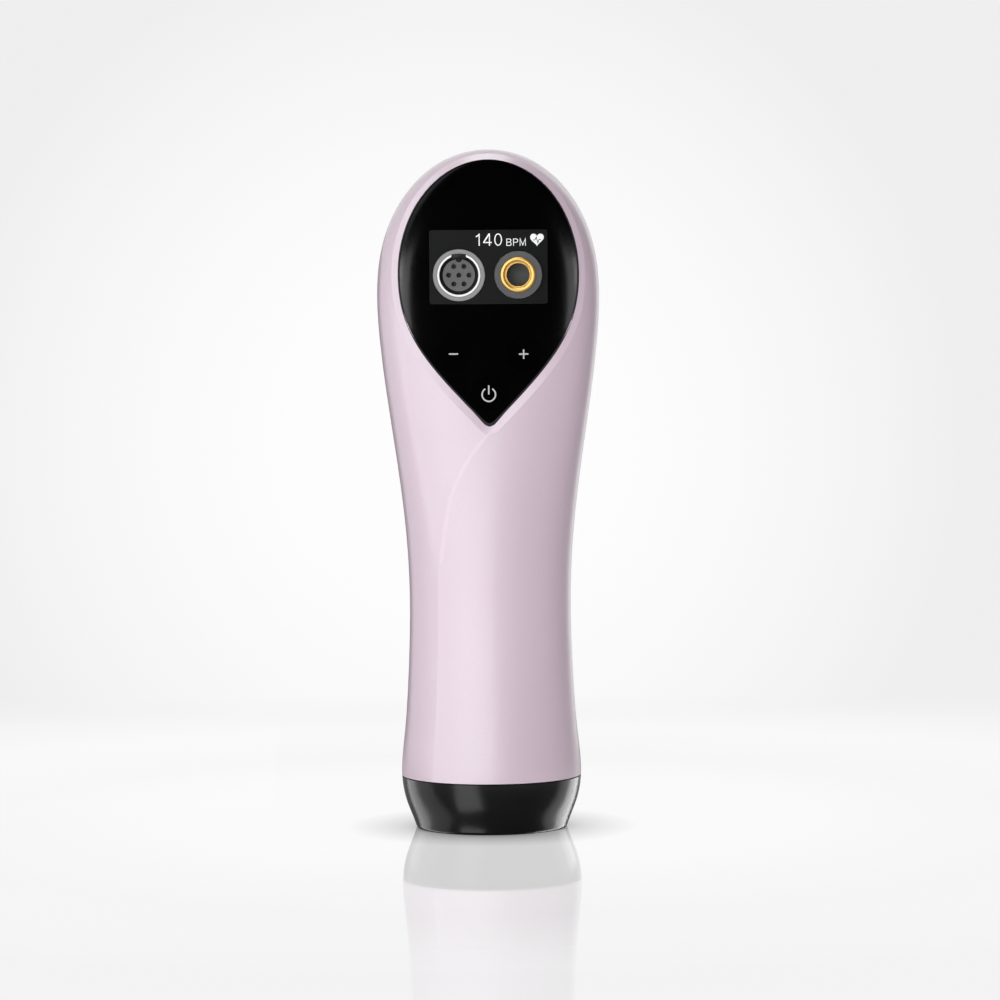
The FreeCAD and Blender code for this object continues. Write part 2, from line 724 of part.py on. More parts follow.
def build_lens():
    face = form(size("lens_sink"), size("lens_tip") - size("cutter_margin"))
    back = inner_form(size("lens_sink") + size("lens_thickness"), size("lens_tip") - size("cutter_margin"))
    pocket_inset = size("lens_sink") + size("window_thickness") + size("glue_gap")
    pocket = window_prism(size("fit")).cut(inner_form(pocket_inset, size("lens_tip") - size("cutter_margin")))
    lens = teardrop(0).common(face).cut(back).cut(pocket)
    lens = lens.cut(socket_holes(size("fit")) + key_holes(size("key_gap")))
    shaped("face_lens", lens)

    window_back = inner_form(size("lens_sink") + size("window_thickness"), size("lens_tip") - size("cutter_margin"))
    window = window_prism(0).common(face).cut(window_back).cut(socket_holes(size("fit")))
    shaped("display_window", window)
    return face


# ---------------------------------------------------------------- keys and switches

def build_key(name, x, z, face):
    flange_front = size("key_collar") - size("fit")
    flange_back = flange_front - size("key_flange")
    flange_radius = size("key_radius") + size("key_flange_rim")
    cap = rod(size("key_radius"), x, z, -far, -flange_front).common(face)
    flange = rod(flange_radius, x, z, -flange_front, -flange_back)
    shaped(name + "_key", cap.fuse(flange).removeSplitter())


def build_switch(name, x, z):
    """Housing on the panel board and the plunger that the key pushes into it."""
    half = "switch_width / 2"
    housing = padded(name + "_switch", "switch_height",
                     lambda sketch: draw_rectangle(sketch, f"-{half}", half, f"-{half}", half))
    bore = new_sketch(housing, name + "_switch_bore_outline")
    bore.setExpression(".AttachmentOffset.Base.z", linked("switch_height"))
    draw_circle(bore, "plunger_radius + fit")
    pocket = housing.newObject("PartDesign::Pocket", name + "_switch_bore")
    pocket.Profile = bore
    pocket.setExpression("Length", linked("switch_bore_depth"))
    seat(housing, x, "-panel_board_front", z, turn_front)
    finished(housing, name + "_switch")

    housing_top = "panel_board_front + switch_height"
    start = f"({housing_top} - switch_bore_depth + plunger_free)"
    end = "(key_collar - fit - key_flange)"
    plunger = turned(name + "_plunger", [
        ("0", "0"),
        ("plunger_radius", "0"),
        ("plunger_radius", f"{end} - {start}"),
        ("0", f"{end} - {start}"),
    ])
    seat(plunger, x, f"-{start}", z, turn_front)
    finished(plunger, name + "_plunger")


# ---------------------------------------------------------------- sockets

def build_contact_socket():
    x, y, z = "-socket_offset", "-(socket_face - socket_flange)", "socket_level"
    ring = tube("socket_ring", "barrel_radius + fit / 2", "socket_radius", "socket_flange")
    finished(seat(ring, x, y, z, turn_front), "socket_ring")

    length = "socket_face + barrel_stand - barrel_back"
    barrel = tube("socket_barrel_blank", "barrel_radius - barrel_wall", "barrel_radius", length)
    seat(barrel, x, "-barrel_back", z, turn_front)
    slot = primitive_box("socket_barrel_notch", "key_notch", "socket_flange + barrel_stand", "barrel_radius")
    seat(slot, "-socket_offset - key_notch / 2", "-socket_face - barrel_stand", "socket_level + insert_radius")
    finished(boolean("Cut", "socket_barrel_cut", barrel, slot), "socket_barrel")

    front = "(socket_face + barrel_stand - insert_sink)"
    insert = turned("socket_insert", [
        ("0", "0"),
        ("barrel_radius - barrel_wall - fit / 2", "0"),
        ("barrel_radius - barrel_wall - fit / 2", f"{front} - barrel_back - pin_depth"),
        ("insert_radius", f"{front} - barrel_back - pin_depth"),
        ("insert_radius", f"{front} - barrel_back"),
        ("0", f"{front} - barrel_back"),
    ])
    outline = new_sketch(insert, "contact_hole_outline")
    outline.setExpression(".AttachmentOffset.Base.z", linked(f"{front} - barrel_back"))
    draw_circle(outline, "pin_radius", "pin_circle")
    holes = insert.newObject("PartDesign::Pocket", "contact_hole")
    holes.Profile = outline
    holes.setExpression("Length", linked("pin_depth"))
    ring_of_holes = insert.newObject("PartDesign::PolarPattern", "contact_holes")
    ring_of_holes.Originals = [holes]
    ring_of_holes.Axis = (outline, ["N_Axis"])
    ring_of_holes.Occurrences = 6
    insert.Tip = ring_of_holes
    centre_outline = new_sketch(insert, "centre_hole_outline")
    centre_outline.setExpression(".AttachmentOffset.Base.z", linked(f"{front} - barrel_back"))
    draw_circle(centre_outline, "pin_radius")
    centre = insert.newObject("PartDesign::Pocket", "centre_hole")
    centre.Profile = centre_outline
    centre.setExpression("Length", linked("pin_depth"))
    notch_outline = new_sketch(insert, "insert_notch_outline")
    notch_outline.setExpression(".AttachmentOffset.Base.z", linked(f"{front} - barrel_back"))
    draw_circle(notch_outline, "insert_notch", "0", "insert_radius")
    notch = insert.newObject("PartDesign::Pocket", "insert_keyway")
    notch.Profile = notch_outline
    notch.setExpression("Length", linked("pin_depth - fit"))
    insert.Tip = notch
    seat(insert, x, "-barrel_back", z, turn_front)
    finished(insert, "socket_insert")


def build_socket_contacts():
    """Seven contact pins standing in the holes of the insert."""
    level, centre = size("socket_level"), -size("socket_offset")
    front = size("socket_face") + size("barrel_stand") - size("insert_sink")
    radius = size("pin_radius") - size("fit")
    places = [(centre, level)]
    for step in range(6):
        angle = math.radians(60 * step)
        places.append((centre + size("pin_circle") * math.cos(angle), level + size("pin_circle") * math.sin(angle)))
    low, high = size("contact_sink") - front, size("pin_depth") - front
    pins = [rod(radius, x, z, low, high) for x, z in places]
    shaped("socket_contacts", Part.makeCompound(pins))


def build_jack():
    x, z = "socket_offset", "socket_level"
    washer = tube("jack_washer", "jack_radius + fit", "washer_radius", "socket_flange")
    finished(seat(washer, x, "-(socket_face - socket_flange)", z, turn_front), "jack_washer")

    inner = "(jack_bore + jack_lip)"
    outer = "(jack_bore + jack_lip + jack_groove)"
    top = "socket_flange + barrel_stand"
    ring = turned("jack_ring", [
        ("jack_bore", "0"),
        ("jack_radius", "0"),
        ("jack_radius", f"{top} - jack_groove"),
        ("jack_radius - jack_groove", top),
        (outer, top),
        (outer, f"{top} - 3 * jack_groove"),
        (inner, f"{top} - 3 * jack_groove"),
        (inner, top),
        ("jack_bore + jack_groove", top),
        ("jack_bore", f"{top} - jack_groove"),
    ])
    finished(seat(ring, x, "-(socket_face - socket_flange)", z, turn_front), "jack_ring")

    length = "(socket_face - socket_flange - barrel_back)"
    barrel = turned("jack_barrel", [
        ("0", "0"),
        ("jack_radius", "0"),
        ("jack_radius", length),
        ("jack_bore", length),
        ("jack_bore", "2 * jack_end + 2 * fit"),
        (f"{inner}", "2 * jack_end + 2 * fit"),
        (f"{inner}", "jack_end"),
        ("0", "jack_end"),
    ])
    finished(seat(barrel, x, "-barrel_back", z, turn_front), "jack_barrel")

    contact = tube("jack_contact", "jack_bore", f"{inner} - fit", "jack_end")
    finished(seat(contact, x, "-(barrel_back + jack_end + fit)", z, turn_front), "jack_contact")


# ---------------------------------------------------------------- display and boards

def build_display():
    module = primitive_box("display_module", "display_width", "display_thickness", "display_height")
    seat(module, "-display_width / 2", "-display_face", "display_level - display_height / 2")
    finished(module, "display_module")

    half_width, half_height = "display_width / 2", "display_height / 2"
    holder = padded("display_holder", "display_face - display_thickness - panel_board_front",
                    lambda sketch: draw_rectangle(sketch, f"-{half_width}", half_width, f"-{half_height}", half_height))
    hollow = new_sketch(holder, "display_holder_hollow_outline")
    draw_rectangle(hollow, f"-{half_width} + frame_wall", f"{half_width} - frame_wall",
                   f"-{half_height} + frame_wall", f"{half_height} - frame_wall")
    pocket = holder.newObject("PartDesign::Pocket", "display_holder_hollow")
    pocket.Profile = hollow
    pocket.Reversed = True
    pocket.Type = "ThroughAll"
    seat(holder, "0", "-panel_board_front", "display_level", turn_front)
    finished(holder, "display_holder")


def draw_board(sketch):
    """Rectangle with cut corners, holed for the board screws."""
    side = "board_half_width"
    cut = "board_chamfer"
    draw_polygon(sketch, [
        (f"-{side} + {cut}", "board_bottom"),
        (f"{side} - {cut}", "board_bottom"),
        (side, f"board_bottom + {cut}"),
        (side, f"board_top - {cut}"),
        (f"{side} - {cut}", "board_top"),
        (f"-{side} + {cut}", "board_top"),
        (f"-{side}", f"board_top - {cut}"),
        (f"-{side}", f"board_bottom + {cut}"),
    ])
    for offset in ("-post_offset", "post_offset"):
        for level in ("post_low", "post_high"):
            draw_circle(sketch, "board_screw_radius + fit", offset, level)


def build_boards():
    panel = padded("panel_board", "board_thickness", draw_board)
    finished(seat(panel, y="-(panel_board_front - board_thickness)", turn=turn_front), "panel_board")
    main = padded("main_board", "main_board_thickness", draw_board)
    finished(seat(main, y="-(main_board_front - main_board_thickness)", turn=turn_front), "main_board")

    gap = "panel_board_front - board_thickness - main_board_front"
    connector = primitive_box("board_connector", "connector_length", gap, "connector_width")
    seat(connector, "-connector_length / 2", "-(panel_board_front - board_thickness)", "board_bottom + board_chamfer")
    finished(connector, "board_connector")

    processor = primitive_box("processor_chip", "processor_width", "chip_height", "processor_width")
    seat(processor, "-processor_width / 2", "-(main_board_front + chip_height)", "speaker_level - processor_width / 2")
    finished(processor, "processor_chip")

    amplifier = primitive_box("amplifier_chip", "amplifier_width", "chip_height", "amplifier_width")
    seat(amplifier, "-amplifier_width / 2", "main_board_thickness - main_board_front", "board_bottom + board_chamfer")
    finished(amplifier, "amplifier_chip")

    back = "main_board_thickness - main_board_front"
    shank = "(panel_board_front + board_screw_grip + main_board_thickness - main_board_front)"
    places = [(x, z) for x in ("-post_offset", "post_offset") for z in ("post_low", "post_high")]
    screws = []
    for number, (x, z) in enumerate(places, start=1):
        spacer = tube(f"board_spacer_{number}", "board_screw_radius + fit", "post_radius", gap)
        finished(seat(spacer, x, "-main_board_front", z, turn_front), f"board_spacer_{number}")
        screw = turned(f"board_screw_{number}", [
            ("0", "-board_screw_radius"),
            ("board_screw_head", "-board_screw_radius"),
            ("board_screw_head", "0"),
            ("board_screw_radius", "0"),
            ("board_screw_radius", shank),
            ("0", shank),
        ])
        screws.append(seat(screw, x, back, z, turn_front))
    finished(joined("board_screw_set", screws), "board_screws")


def build_case_screws():
    places = [(x, z) for x in ("-crown_screw_offset", "crown_screw_offset") for z in ("crown_screw_level",)]
    places += [(x, z) for x in ("-grip_screw_offset", "grip_screw_offset") for z in ("grip_screw_level",)]
    shank = "(case_screw_seat + case_screw_grip)"
    for number, (x, z) in enumerate(places, start=1):
        screw = turned(f"case_screw_{number}", [
            ("0", "-case_screw_head_height"),
            ("case_screw_head", "-case_screw_head_height"),
            ("case_screw_head", "0"),
            ("case_screw_radius", "0"),
            ("case_screw_radius", shank),
            ("0", f"{shank} + case_screw_radius"),
        ])
        finished(seat(screw, x, "case_screw_seat", z, turn_front), f"case_screw_{number}")


# ---------------------------------------------------------------- speaker

def build_speaker():
    back = "(speaker_flange + speaker_depth)"
    seat_plane = f"speaker_face - {back}"
    frame = turned("speaker_frame", [
        ("0", "0"),
        ("magnet_radius + speaker_sheet", "0"),
        ("speaker_radius - 2 * speaker_sheet", "speaker_depth"),
        ("speaker_radius", "speaker_depth"),
        ("speaker_radius", back),
        ("speaker_radius - 2 * speaker_sheet", back),
        ("magnet_radius + speaker_sheet", "speaker_sheet"),
        ("0", "speaker_sheet"),
    ])
    finished(seat(frame, "0", seat_plane, "speaker_level", turn_back), "speaker_frame")

    cone = turned("speaker_cone", [
        ("0", "2 * speaker_sheet"),
        ("magnet_radius / 2", "2 * speaker_sheet"),
        ("speaker_radius - 3 * speaker_sheet", back),
        ("speaker_radius - 3 * speaker_sheet - cone_sheet", back),
        ("magnet_radius / 2", "2 * speaker_sheet + cone_sheet"),
        ("0", "3 * speaker_sheet"),
    ])
    finished(seat(cone, "0", seat_plane, "speaker_level", turn_back), "speaker_cone")

    magnet = turned("speaker_magnet", [
        ("0", "0"),
        ("magnet_radius", "0"),
        ("magnet_radius", "magnet_height"),
        ("0", "magnet_height"),
    ])
    finished(seat(magnet, "0", f"{seat_plane} - magnet_height", "speaker_level", turn_back), "speaker_magnet")

    cloth = primitive_cylinder("speaker_cloth", "speaker_radius - 1.5 * well_wall", "mesh_thickness")
    finished(seat(cloth, "0", "speaker_face + fit", "speaker_level", turn_back), "speaker_cloth")


# ---------------------------------------------------------------- battery bay

def build_battery_tray(bay):
    bottom, wall = size("tray_bottom"), size("tray_wall")
    radius = size("cell_radius") + size("cell_clearance")
    depth, half_spacing = size("cell_depth"), size("cell_spacing") / 2
    tray = block(-far, far, depth - radius - wall, depth, bottom, bottom + size("tray_length")).common(bay)
    low, length = bottom + wall, size("tray_length") - 2 * wall
    channels = [
        Part.makeCylinder(radius, length, Vector(side * half_spacing, depth, low)) for side in (-1, 1)
    ]
    bridge_reach = (size("cell_spacing") + size("plate_width")) / 2 + size("fit")
    bridge_low = depth - size("plate_width") / 2 - size("fit")
    top = low + length
    bridge_room = block(-bridge_reach, bridge_reach, bridge_low, far, top - size("plate_thickness") - size("fit"), top)
    shaped("battery_tray", tray.cut(channels + [bridge_room]))


def build_cells():
    low = "tray_bottom + tray_wall + plate_thickness + fit"
    profile = [
        ("0", "0"),
        ("cell_radius", "0"),
        ("cell_radius", "cell_length"),
        ("cell_nub_radius", "cell_length"),
        ("cell_nub_radius", "cell_length + cell_nub"),
        ("0", "cell_length + cell_nub"),
    ]
    left = turned("battery_left", profile)
    finished(seat(left, "-cell_spacing / 2", "cell_depth", f"{low} + spring_length"), "battery_left")
    right = turned("battery_right", profile)
    finished(seat(right, "cell_spacing / 2", "cell_depth", f"{low} + cell_length + cell_nub", upside_down), "battery_right")


def build_battery_contacts():
    span = "cell_length + cell_nub + spring_length + 2 * fit"
    low_plate = "tray_bottom + tray_wall"
    high_plate = f"{low_plate} + plate_thickness + {span}"
    depth = "cell_depth - plate_width / 2"
    plates = []
    for name, x in (("left", "-cell_spacing / 2"), ("right", "cell_spacing / 2")):
        plate = primitive_box(f"battery_plate_{name}", "plate_width", "plate_width / 2", "plate_thickness")
        plates.append(seat(plate, f"{x} - plate_width / 2", depth, low_plate))
    finished(joined("battery_plate_pair", plates), "battery_plates")
    bridge = primitive_box("battery_bridge", "cell_spacing + plate_width", "plate_width / 2", "plate_thickness")
    finished(seat(bridge, "-(cell_spacing + plate_width) / 2", depth, high_plate), "battery_bridge")

    leaf_low = f"{low_plate} + plate_thickness"
    for name, x, z, turn in (
        ("left", "-cell_spacing / 2", leaf_low, upright),
        ("right", "cell_spacing / 2", f"{high_plate}", upside_down),
    ):
        leaf = padded(f"battery_spring_{name}", "spring_width", draw_leaf)
        leaf_turn = turn.multiply(turn_front)
        finished(seat(leaf, x, "cell_depth", z, leaf_turn), f"battery_spring_{name}")


def draw_leaf(sketch):
    """Bent strip: two feet on the plate and a raised middle under the cell."""
    foot, crest, strip = "plate_width / 2", "plate_width / 8", "plate_thickness"
    draw_polygon(sketch, [
        (f"-{foot}", "0"),
        (f"-{foot} + 2 * {strip}", "0"),
        (f"-{crest}", f"spring_length - {strip}"),
        (crest, f"spring_length - {strip}"),
        (f"{foot} - 2 * {strip}", "0"),
        (foot, "0"),
        (f"{crest} + {strip}", "spring_length"),
        (f"-{crest} - {strip}", "spring_length"),
    ])


# ---------------------------------------------------------------- probe

def build_probe_cap(outer):
    seam = size("seam_level")
    below_seam = block(-far, far, -far, far, -1, seam - size("seam_gap"))
    cap = outer.common(below_seam)
    sole = [edge for edge in cap.Edges if edge.BoundBox.ZMax < 0.01]
    cap = cap.makeFillet(size("sole_edge"), sole)
    cap = cap.cut(inner_form(size("cap_wall"), size("cap_floor")))
    spigot_inset = size("wall") + size("fit")
    overlap = block(-far, far, -far, far, seam / 2, seam + size("spigot_height"))
    spigot = inner_form(spigot_inset, seam / 2).cut(inner_form(spigot_inset + size("spigot_wall"), 0)).common(overlap)
    cap = cap.fuse(spigot)
    mouth = Part.makeCylinder(size("face_radius") + size("fit"), far, Vector(0, 0, -far / 2))
    shaped("probe_cap", cap.cut(mouth).removeSplitter())


def build_probe():
    flange_low = "(cap_floor + seal_height + fit)"
    flange_high = f"({flange_low} + face_flange)"
    face = turned("acoustic_face", [
        ("0", "0"),
        ("face_radius", "0"),
        ("face_radius", flange_low),
        ("face_radius + face_rim", flange_low),
        ("face_radius + face_rim", flange_high),
        ("0", flange_high),
    ])
    finished(seat(face), "acoustic_face")

    seal = tube("probe_seal", "face_radius + fit", "face_radius + face_rim - fit", "seal_height")
    finished(seat(seal, z="cap_floor + fit / 2"), "probe_seal")

    for name, side, angle in (("transmit", "", -90), ("receive", "-", 90)):
        turn = Rotation(Vector(0, 0, 1), angle)
        crystal = primitive_cylinder(f"{name}_crystal", "crystal_radius", "crystal_thickness", 180)
        finished(seat(crystal, f"{side}crystal_split / 2", "0", flange_high, turn), f"{name}_crystal")
        backing = primitive_cylinder(f"{name}_backing", "crystal_radius", "backing_height", 180)
        finished(seat(backing, f"{side}crystal_split / 2", "0", f"{flange_high} + crystal_thickness", turn),
                 f"{name}_backing")

    inner = "(crystal_radius + crystal_split / 2 + fit)"
    carrier = tube("crystal_carrier", inner, f"{inner} + carrier_wall", "crystal_thickness + backing_height")
    finished(seat(carrier, z=flange_high), "crystal_carrier")


# ---------------------------------------------------------------- assembly

def build_all():
    outer = creased_form()
    above_seam = outer.common(block(-far, far, -far, far, size("seam_level"), 2 * far))
    inner = inner_form(size("wall"), size("sole_edge"))
    stud_limit = inner_form(size("wall") / 2, size("seam_level") / 2)
    build_front_shell(above_seam, inner, stud_limit)
    build_rear_shell(above_seam, inner, stud_limit)
    build_battery_door(above_seam, inner)
    build_probe_cap(outer)
    build_battery_tray(inner_form(size("wall") + size("fit"), size("sole_edge")))
    face = build_lens()
    for name, (x, z) in key_places().items():
        build_key(name, x, z, face)
    build_switch("minus", "-key_offset", "key_level")
    build_switch("plus", "key_offset", "key_level")
    build_switch("power", "0", "power_level")
    build_contact_socket()
    build_socket_contacts()
    build_jack()
    build_display()
    build_boards()
    build_case_screws()
    build_speaker()
    build_cells()
    build_battery_contacts()
    build_probe()


def check_objects():
    for item in doc.Objects:
        if "Invalid" in item.State or "Error" in item.State:
            raise RuntimeError(f"{item.Name} failed: {item.State}")
    for item in sub_parts:
        if item.Shape.isNull() or not item.Shape.isValid():
            raise RuntimeError(f"{item.Label} has no valid shape")


build_all()
doc.recompute()
check_objects()
os.makedirs("parts", exist_ok=True)
for item in sub_parts:
    item.Shape.exportStep(f"parts/{item.Label}.step")
print(f"{len(sub_parts)} sub-parts written")
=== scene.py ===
import json
import math

import bmesh
import bpy
from mathutils import Matrix, Vector
from mathutils.bvhtree import BVHTree


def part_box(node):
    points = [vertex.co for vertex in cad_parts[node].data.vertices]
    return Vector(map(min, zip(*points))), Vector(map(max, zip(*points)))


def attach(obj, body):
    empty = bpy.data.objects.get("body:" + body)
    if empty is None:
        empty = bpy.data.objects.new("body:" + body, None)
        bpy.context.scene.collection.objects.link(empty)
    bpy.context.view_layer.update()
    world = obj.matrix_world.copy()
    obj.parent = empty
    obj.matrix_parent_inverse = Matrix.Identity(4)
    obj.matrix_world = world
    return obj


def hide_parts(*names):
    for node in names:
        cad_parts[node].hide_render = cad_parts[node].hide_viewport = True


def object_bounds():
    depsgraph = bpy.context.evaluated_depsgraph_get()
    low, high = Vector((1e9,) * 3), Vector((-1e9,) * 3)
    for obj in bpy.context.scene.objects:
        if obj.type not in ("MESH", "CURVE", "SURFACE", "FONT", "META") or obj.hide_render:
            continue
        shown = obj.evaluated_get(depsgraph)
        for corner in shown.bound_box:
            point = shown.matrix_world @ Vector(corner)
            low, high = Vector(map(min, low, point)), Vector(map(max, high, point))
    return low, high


# A hand-held fetal doppler monitor that stands on its probe cap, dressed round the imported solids.
# Metres. +Z is up, the control panel faces -Y and +X is to its right.

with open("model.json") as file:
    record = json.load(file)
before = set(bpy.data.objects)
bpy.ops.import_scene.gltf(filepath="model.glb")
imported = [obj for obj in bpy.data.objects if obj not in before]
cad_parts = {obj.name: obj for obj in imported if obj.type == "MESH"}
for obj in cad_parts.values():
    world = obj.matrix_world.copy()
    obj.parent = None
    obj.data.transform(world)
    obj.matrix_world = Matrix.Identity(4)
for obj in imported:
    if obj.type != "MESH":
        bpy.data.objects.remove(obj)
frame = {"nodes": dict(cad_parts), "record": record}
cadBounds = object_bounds()
mm = 0.001
inwards = Vector((0.0, 1.0, 0.0))   # from the front
scene = bpy.context.scene

cameraSettings = {
    "aim": (2.44 * mm, 0.0, 77.5 * mm),   # where the middle of the image looks
    "distance": 1.1,                      # from the aim to the lens
    "pitch": 4.4,                         # degrees above the horizon
    "azimuth": -0.6,                      # degrees from the front towards +X
    "roll": -0.4,                         # degrees
    "lens": 167.8,
    "sensor": 36.0,
    "clip": (0.01, 50.0),
}


# Unit vector from the object towards an azimuth from the front and an elevation, in degrees.
def towards(azimuth, elevation):
    turn, rise = math.radians(azimuth), math.radians(elevation)
    return Vector((math.sin(turn) * math.cos(rise), -math.cos(turn) * math.cos(rise), math.sin(rise)))


def placeCamera(settings):
    data = bpy.data.cameras.new("camera")
    data.lens = settings["lens"]
    data.sensor_width = settings["sensor"]
    data.clip_start, data.clip_end = settings["clip"]
    camera = bpy.data.objects.new("camera", data)
    scene.collection.objects.link(camera)
    back = towards(settings["azimuth"], settings["pitch"])
    turn = Matrix.Rotation(math.radians(settings["roll"]), 4, back)
    upright = back.to_track_quat("Z", "Y").to_matrix().to_4x4()
    place = Matrix.Translation(Vector(settings["aim"]) + back * settings["distance"])
    camera.matrix_world = place @ turn @ upright
    scene.camera = camera


placeCamera(cameraSettings)
print("camera placed")


# Adds a node; each input is a constant or the output that feeds it.
def addNode(tree, kind, inputs=None, **settings):
    node = tree.nodes.new(kind)
    for name, value in settings.items():
        setattr(node, name, value)
    for name, value in (inputs or {}).items():
        if isinstance(value, bpy.types.NodeSocket):
            tree.links.new(value, node.inputs[name])
        else:
            node.inputs[name].default_value = value
    return node


def compute(tree, operation, first, second, kind="ShaderNodeMath"):
    return addNode(tree, kind, {0: first, 1: second}, operation=operation).outputs["Value"]


def mixShaders(tree, share, first, second):
    return addNode(tree, "ShaderNodeMixShader", {0: share, 1: first, 2: second}).outputs[0]


# A Principled material with its constants set on the shader's own sockets.
def startMaterial(name, color, roughness, **sockets):
    material = bpy.data.materials.new(name)
    material.use_nodes = True
    tree = material.node_tree
    shader = tree.nodes["Principled BSDF"]
    shader.inputs["Base Color"].default_value = (*color, 1.0)
    shader.inputs["Roughness"].default_value = roughness
    for socket, value in sockets.items():
        shader.inputs[socket.replace("_", " ")].default_value = value
    return material, tree, shader


# A material with nothing yet on its surface.
def bareMaterial(name):
    material = bpy.data.materials.new(name)
    material.use_nodes = True
    tree = material.node_tree
    tree.nodes.remove(tree.nodes["Principled BSDF"])
    return material, tree, tree.nodes["Material Output"].inputs["Surface"]


# Where a point of the piece is, in the piece's own metres.
def ownPlace(tree):
    return addNode(tree, "ShaderNodeTexCoord").outputs["Object"]


# Noise on the piece; scale is patches per metre.
def objectNoise(tree, scale, detail=2.0, stretch=(1.0, 1.0, 1.0)):
    place = addNode(tree, "ShaderNodeMapping", {"Vector": ownPlace(tree), "Scale": stretch})
    noise = addNode(tree, "ShaderNodeTexNoise",
                    {"Vector": place.outputs["Vector"], "Scale": scale, "Detail": detail})
    return noise.outputs["Fac"]


# Maps a source that runs from fromLow to fromHigh onto low to high.
def spread(tree, source, low, high, fromLow=0.3, fromHigh=0.7):
    ranged = addNode(tree, "ShaderNodeMapRange",
                     {"Value": source, "From Min": fromLow, "From Max": fromHigh,
                      "To Min": low, "To Max": high})
    return ranged.outputs["Result"]


def mixColors(tree, share, first, second):
    mix = addNode(tree, "ShaderNodeMix", {"Factor": share, "A": (*first, 1.0), "B": (*second, 1.0)},
                  data_type="RGBA")
    return mix.outputs["Result"]


# Colours the shader between first and second.
def tint(tree, shader, share, first, second):
    tree.links.new(mixColors(tree, share, first, second), shader.inputs["Base Color"])


def addBump(tree, shader, height, depth):
    bump = addNode(tree, "ShaderNodeBump", {"Height": height, "Distance": depth})
    tree.links.new(bump.outputs["Normal"], shader.inputs["Normal"])


# Plastic, rubber or plain metal: a slight drift of colour, an uneven gloss and a fine skin.
def plainFinish(name, color, second, roughness, patches=140.0, grain=2500.0, depth=0.000004, **sockets):
    material, tree, shader = startMaterial(name, color, roughness, **sockets)
    tint(tree, shader, spread(tree, objectNoise(tree, patches), 0.0, 1.0), color, second)
    skin = objectNoise(tree, grain, 3.0)
    tree.links.new(spread(tree, skin, roughness * 0.88, roughness * 1.15), shader.inputs["Roughness"])
    addBump(tree, shader, skin, depth)
    return material


# Metal turned on a lathe about an axis along Y through centre (x, z): fine rings on its face.
def turnedMetal(name, color, second, roughness, centre, metallic, grooves=3200.0, depth=0.000008):
    material, tree, shader = startMaterial(name, color, roughness, Metallic=metallic)
    flat = addNode(tree, "ShaderNodeMapping",
                   {"Vector": ownPlace(tree), "Scale": (1.0, 0.0, 1.0),
                    "Location": (-centre[0], 0.0, -centre[1])})
    radius = addNode(tree, "ShaderNodeVectorMath", {0: flat.outputs["Vector"]}, operation="LENGTH")
    noise = addNode(tree, "ShaderNodeTexNoise",
                    {"W": radius.outputs["Value"], "Scale": grooves, "Detail": 2.0},
                    noise_dimensions="1D")
    rings = noise.outputs["Fac"]
    tint(tree, shader, spread(tree, rings, 0.0, 1.0), color, second)
    tree.links.new(spread(tree, rings, roughness * 0.8, roughness * 1.2), shader.inputs["Roughness"])
    addBump(tree, shader, rings, depth)
    return material


pearlSettings = {
    "dark": (0.765, 0.604, 0.712),
    "light": (0.805, 0.640, 0.746),
    "flake": 9000.0,              # flakes per metre
    "roughness": (0.37, 0.45),
    "sheen": (0.74, 1.0, 0.88),   # tint of its gloss
    "gloss": 0.8,
    "coat": 0.6,                  # clear skin over the flakes
    "coatRoughness": 0.2,
    "grain": 1400.0,              # unevenness of the skin, per metre
    "depth": 0.000004,
}


# Pale lilac-pink pearl: a fine flake under a satin skin.
def pearlCase(settings):
    material, tree, shader = startMaterial(
        "casePearl", settings["dark"], settings["roughness"][0], Specular_IOR_Level=settings["gloss"],
        Specular_Tint=(*settings["sheen"], 1.0), Coat_Weight=settings["coat"],
        Coat_Roughness=settings["coatRoughness"])
    flakes = addNode(tree, "ShaderNodeTexVoronoi",
                     {"Vector": ownPlace(tree), "Scale": settings["flake"]})
    sparkle = addNode(tree, "ShaderNodeSeparateColor", {"Color": flakes.outputs["Color"]})
    tint(tree, shader, sparkle.outputs["Red"], settings["dark"], settings["light"])
    skin = objectNoise(tree, settings["grain"], 3.0)
    tree.links.new(spread(tree, skin, *settings["roughness"]), shader.inputs["Roughness"])
    addBump(tree, shader, skin, settings["depth"])
    return material


# Thin black cloth with a visible weave.
def speakerCloth():
    material, tree, shader = startMaterial("speakerCloth", (0.03, 0.03, 0.032), 0.9)
    weave = addNode(tree, "ShaderNodeTexChecker",
                    {"Vector": ownPlace(tree), "Scale": 2200.0, "Color1": (0.05, 0.05, 0.052, 1.0),
                     "Color2": (0.018, 0.018, 0.02, 1.0)})
    tree.links.new(weave.outputs["Color"], shader.inputs["Base Color"])
    addBump(tree, shader, weave.outputs["Fac"], 0.00003)
    return material


# White print or a lit figure; glow is how much light it gives of its own.
def printedWhite(name, color, glow):
    material, tree, shader = startMaterial(name, color, 0.5, Emission_Strength=glow)
    shader.inputs["Emission Color"].default_value = (*color, 1.0)
    skin = objectNoise(tree, 3000.0)
    tree.links.new(spread(tree, skin, 0.45, 0.6), shader.inputs["Roughness"])
    return material


# A plain shrink sleeve.
def sleevedCell():
    material, tree, shader = startMaterial("cellSleeve", (0.20, 0.24, 0.29), 0.35, Coat_Weight=0.4)
    drift = spread(tree, objectNoise(tree, 60.0, 2.0, (1.0, 1.0, 0.2)), 0.0, 1.0)
    tint(tree, shader, drift, (0.17, 0.21, 0.26), (0.22, 0.27, 0.33))
    addBump(tree, shader, objectNoise(tree, 900.0), 0.00001)
    return material


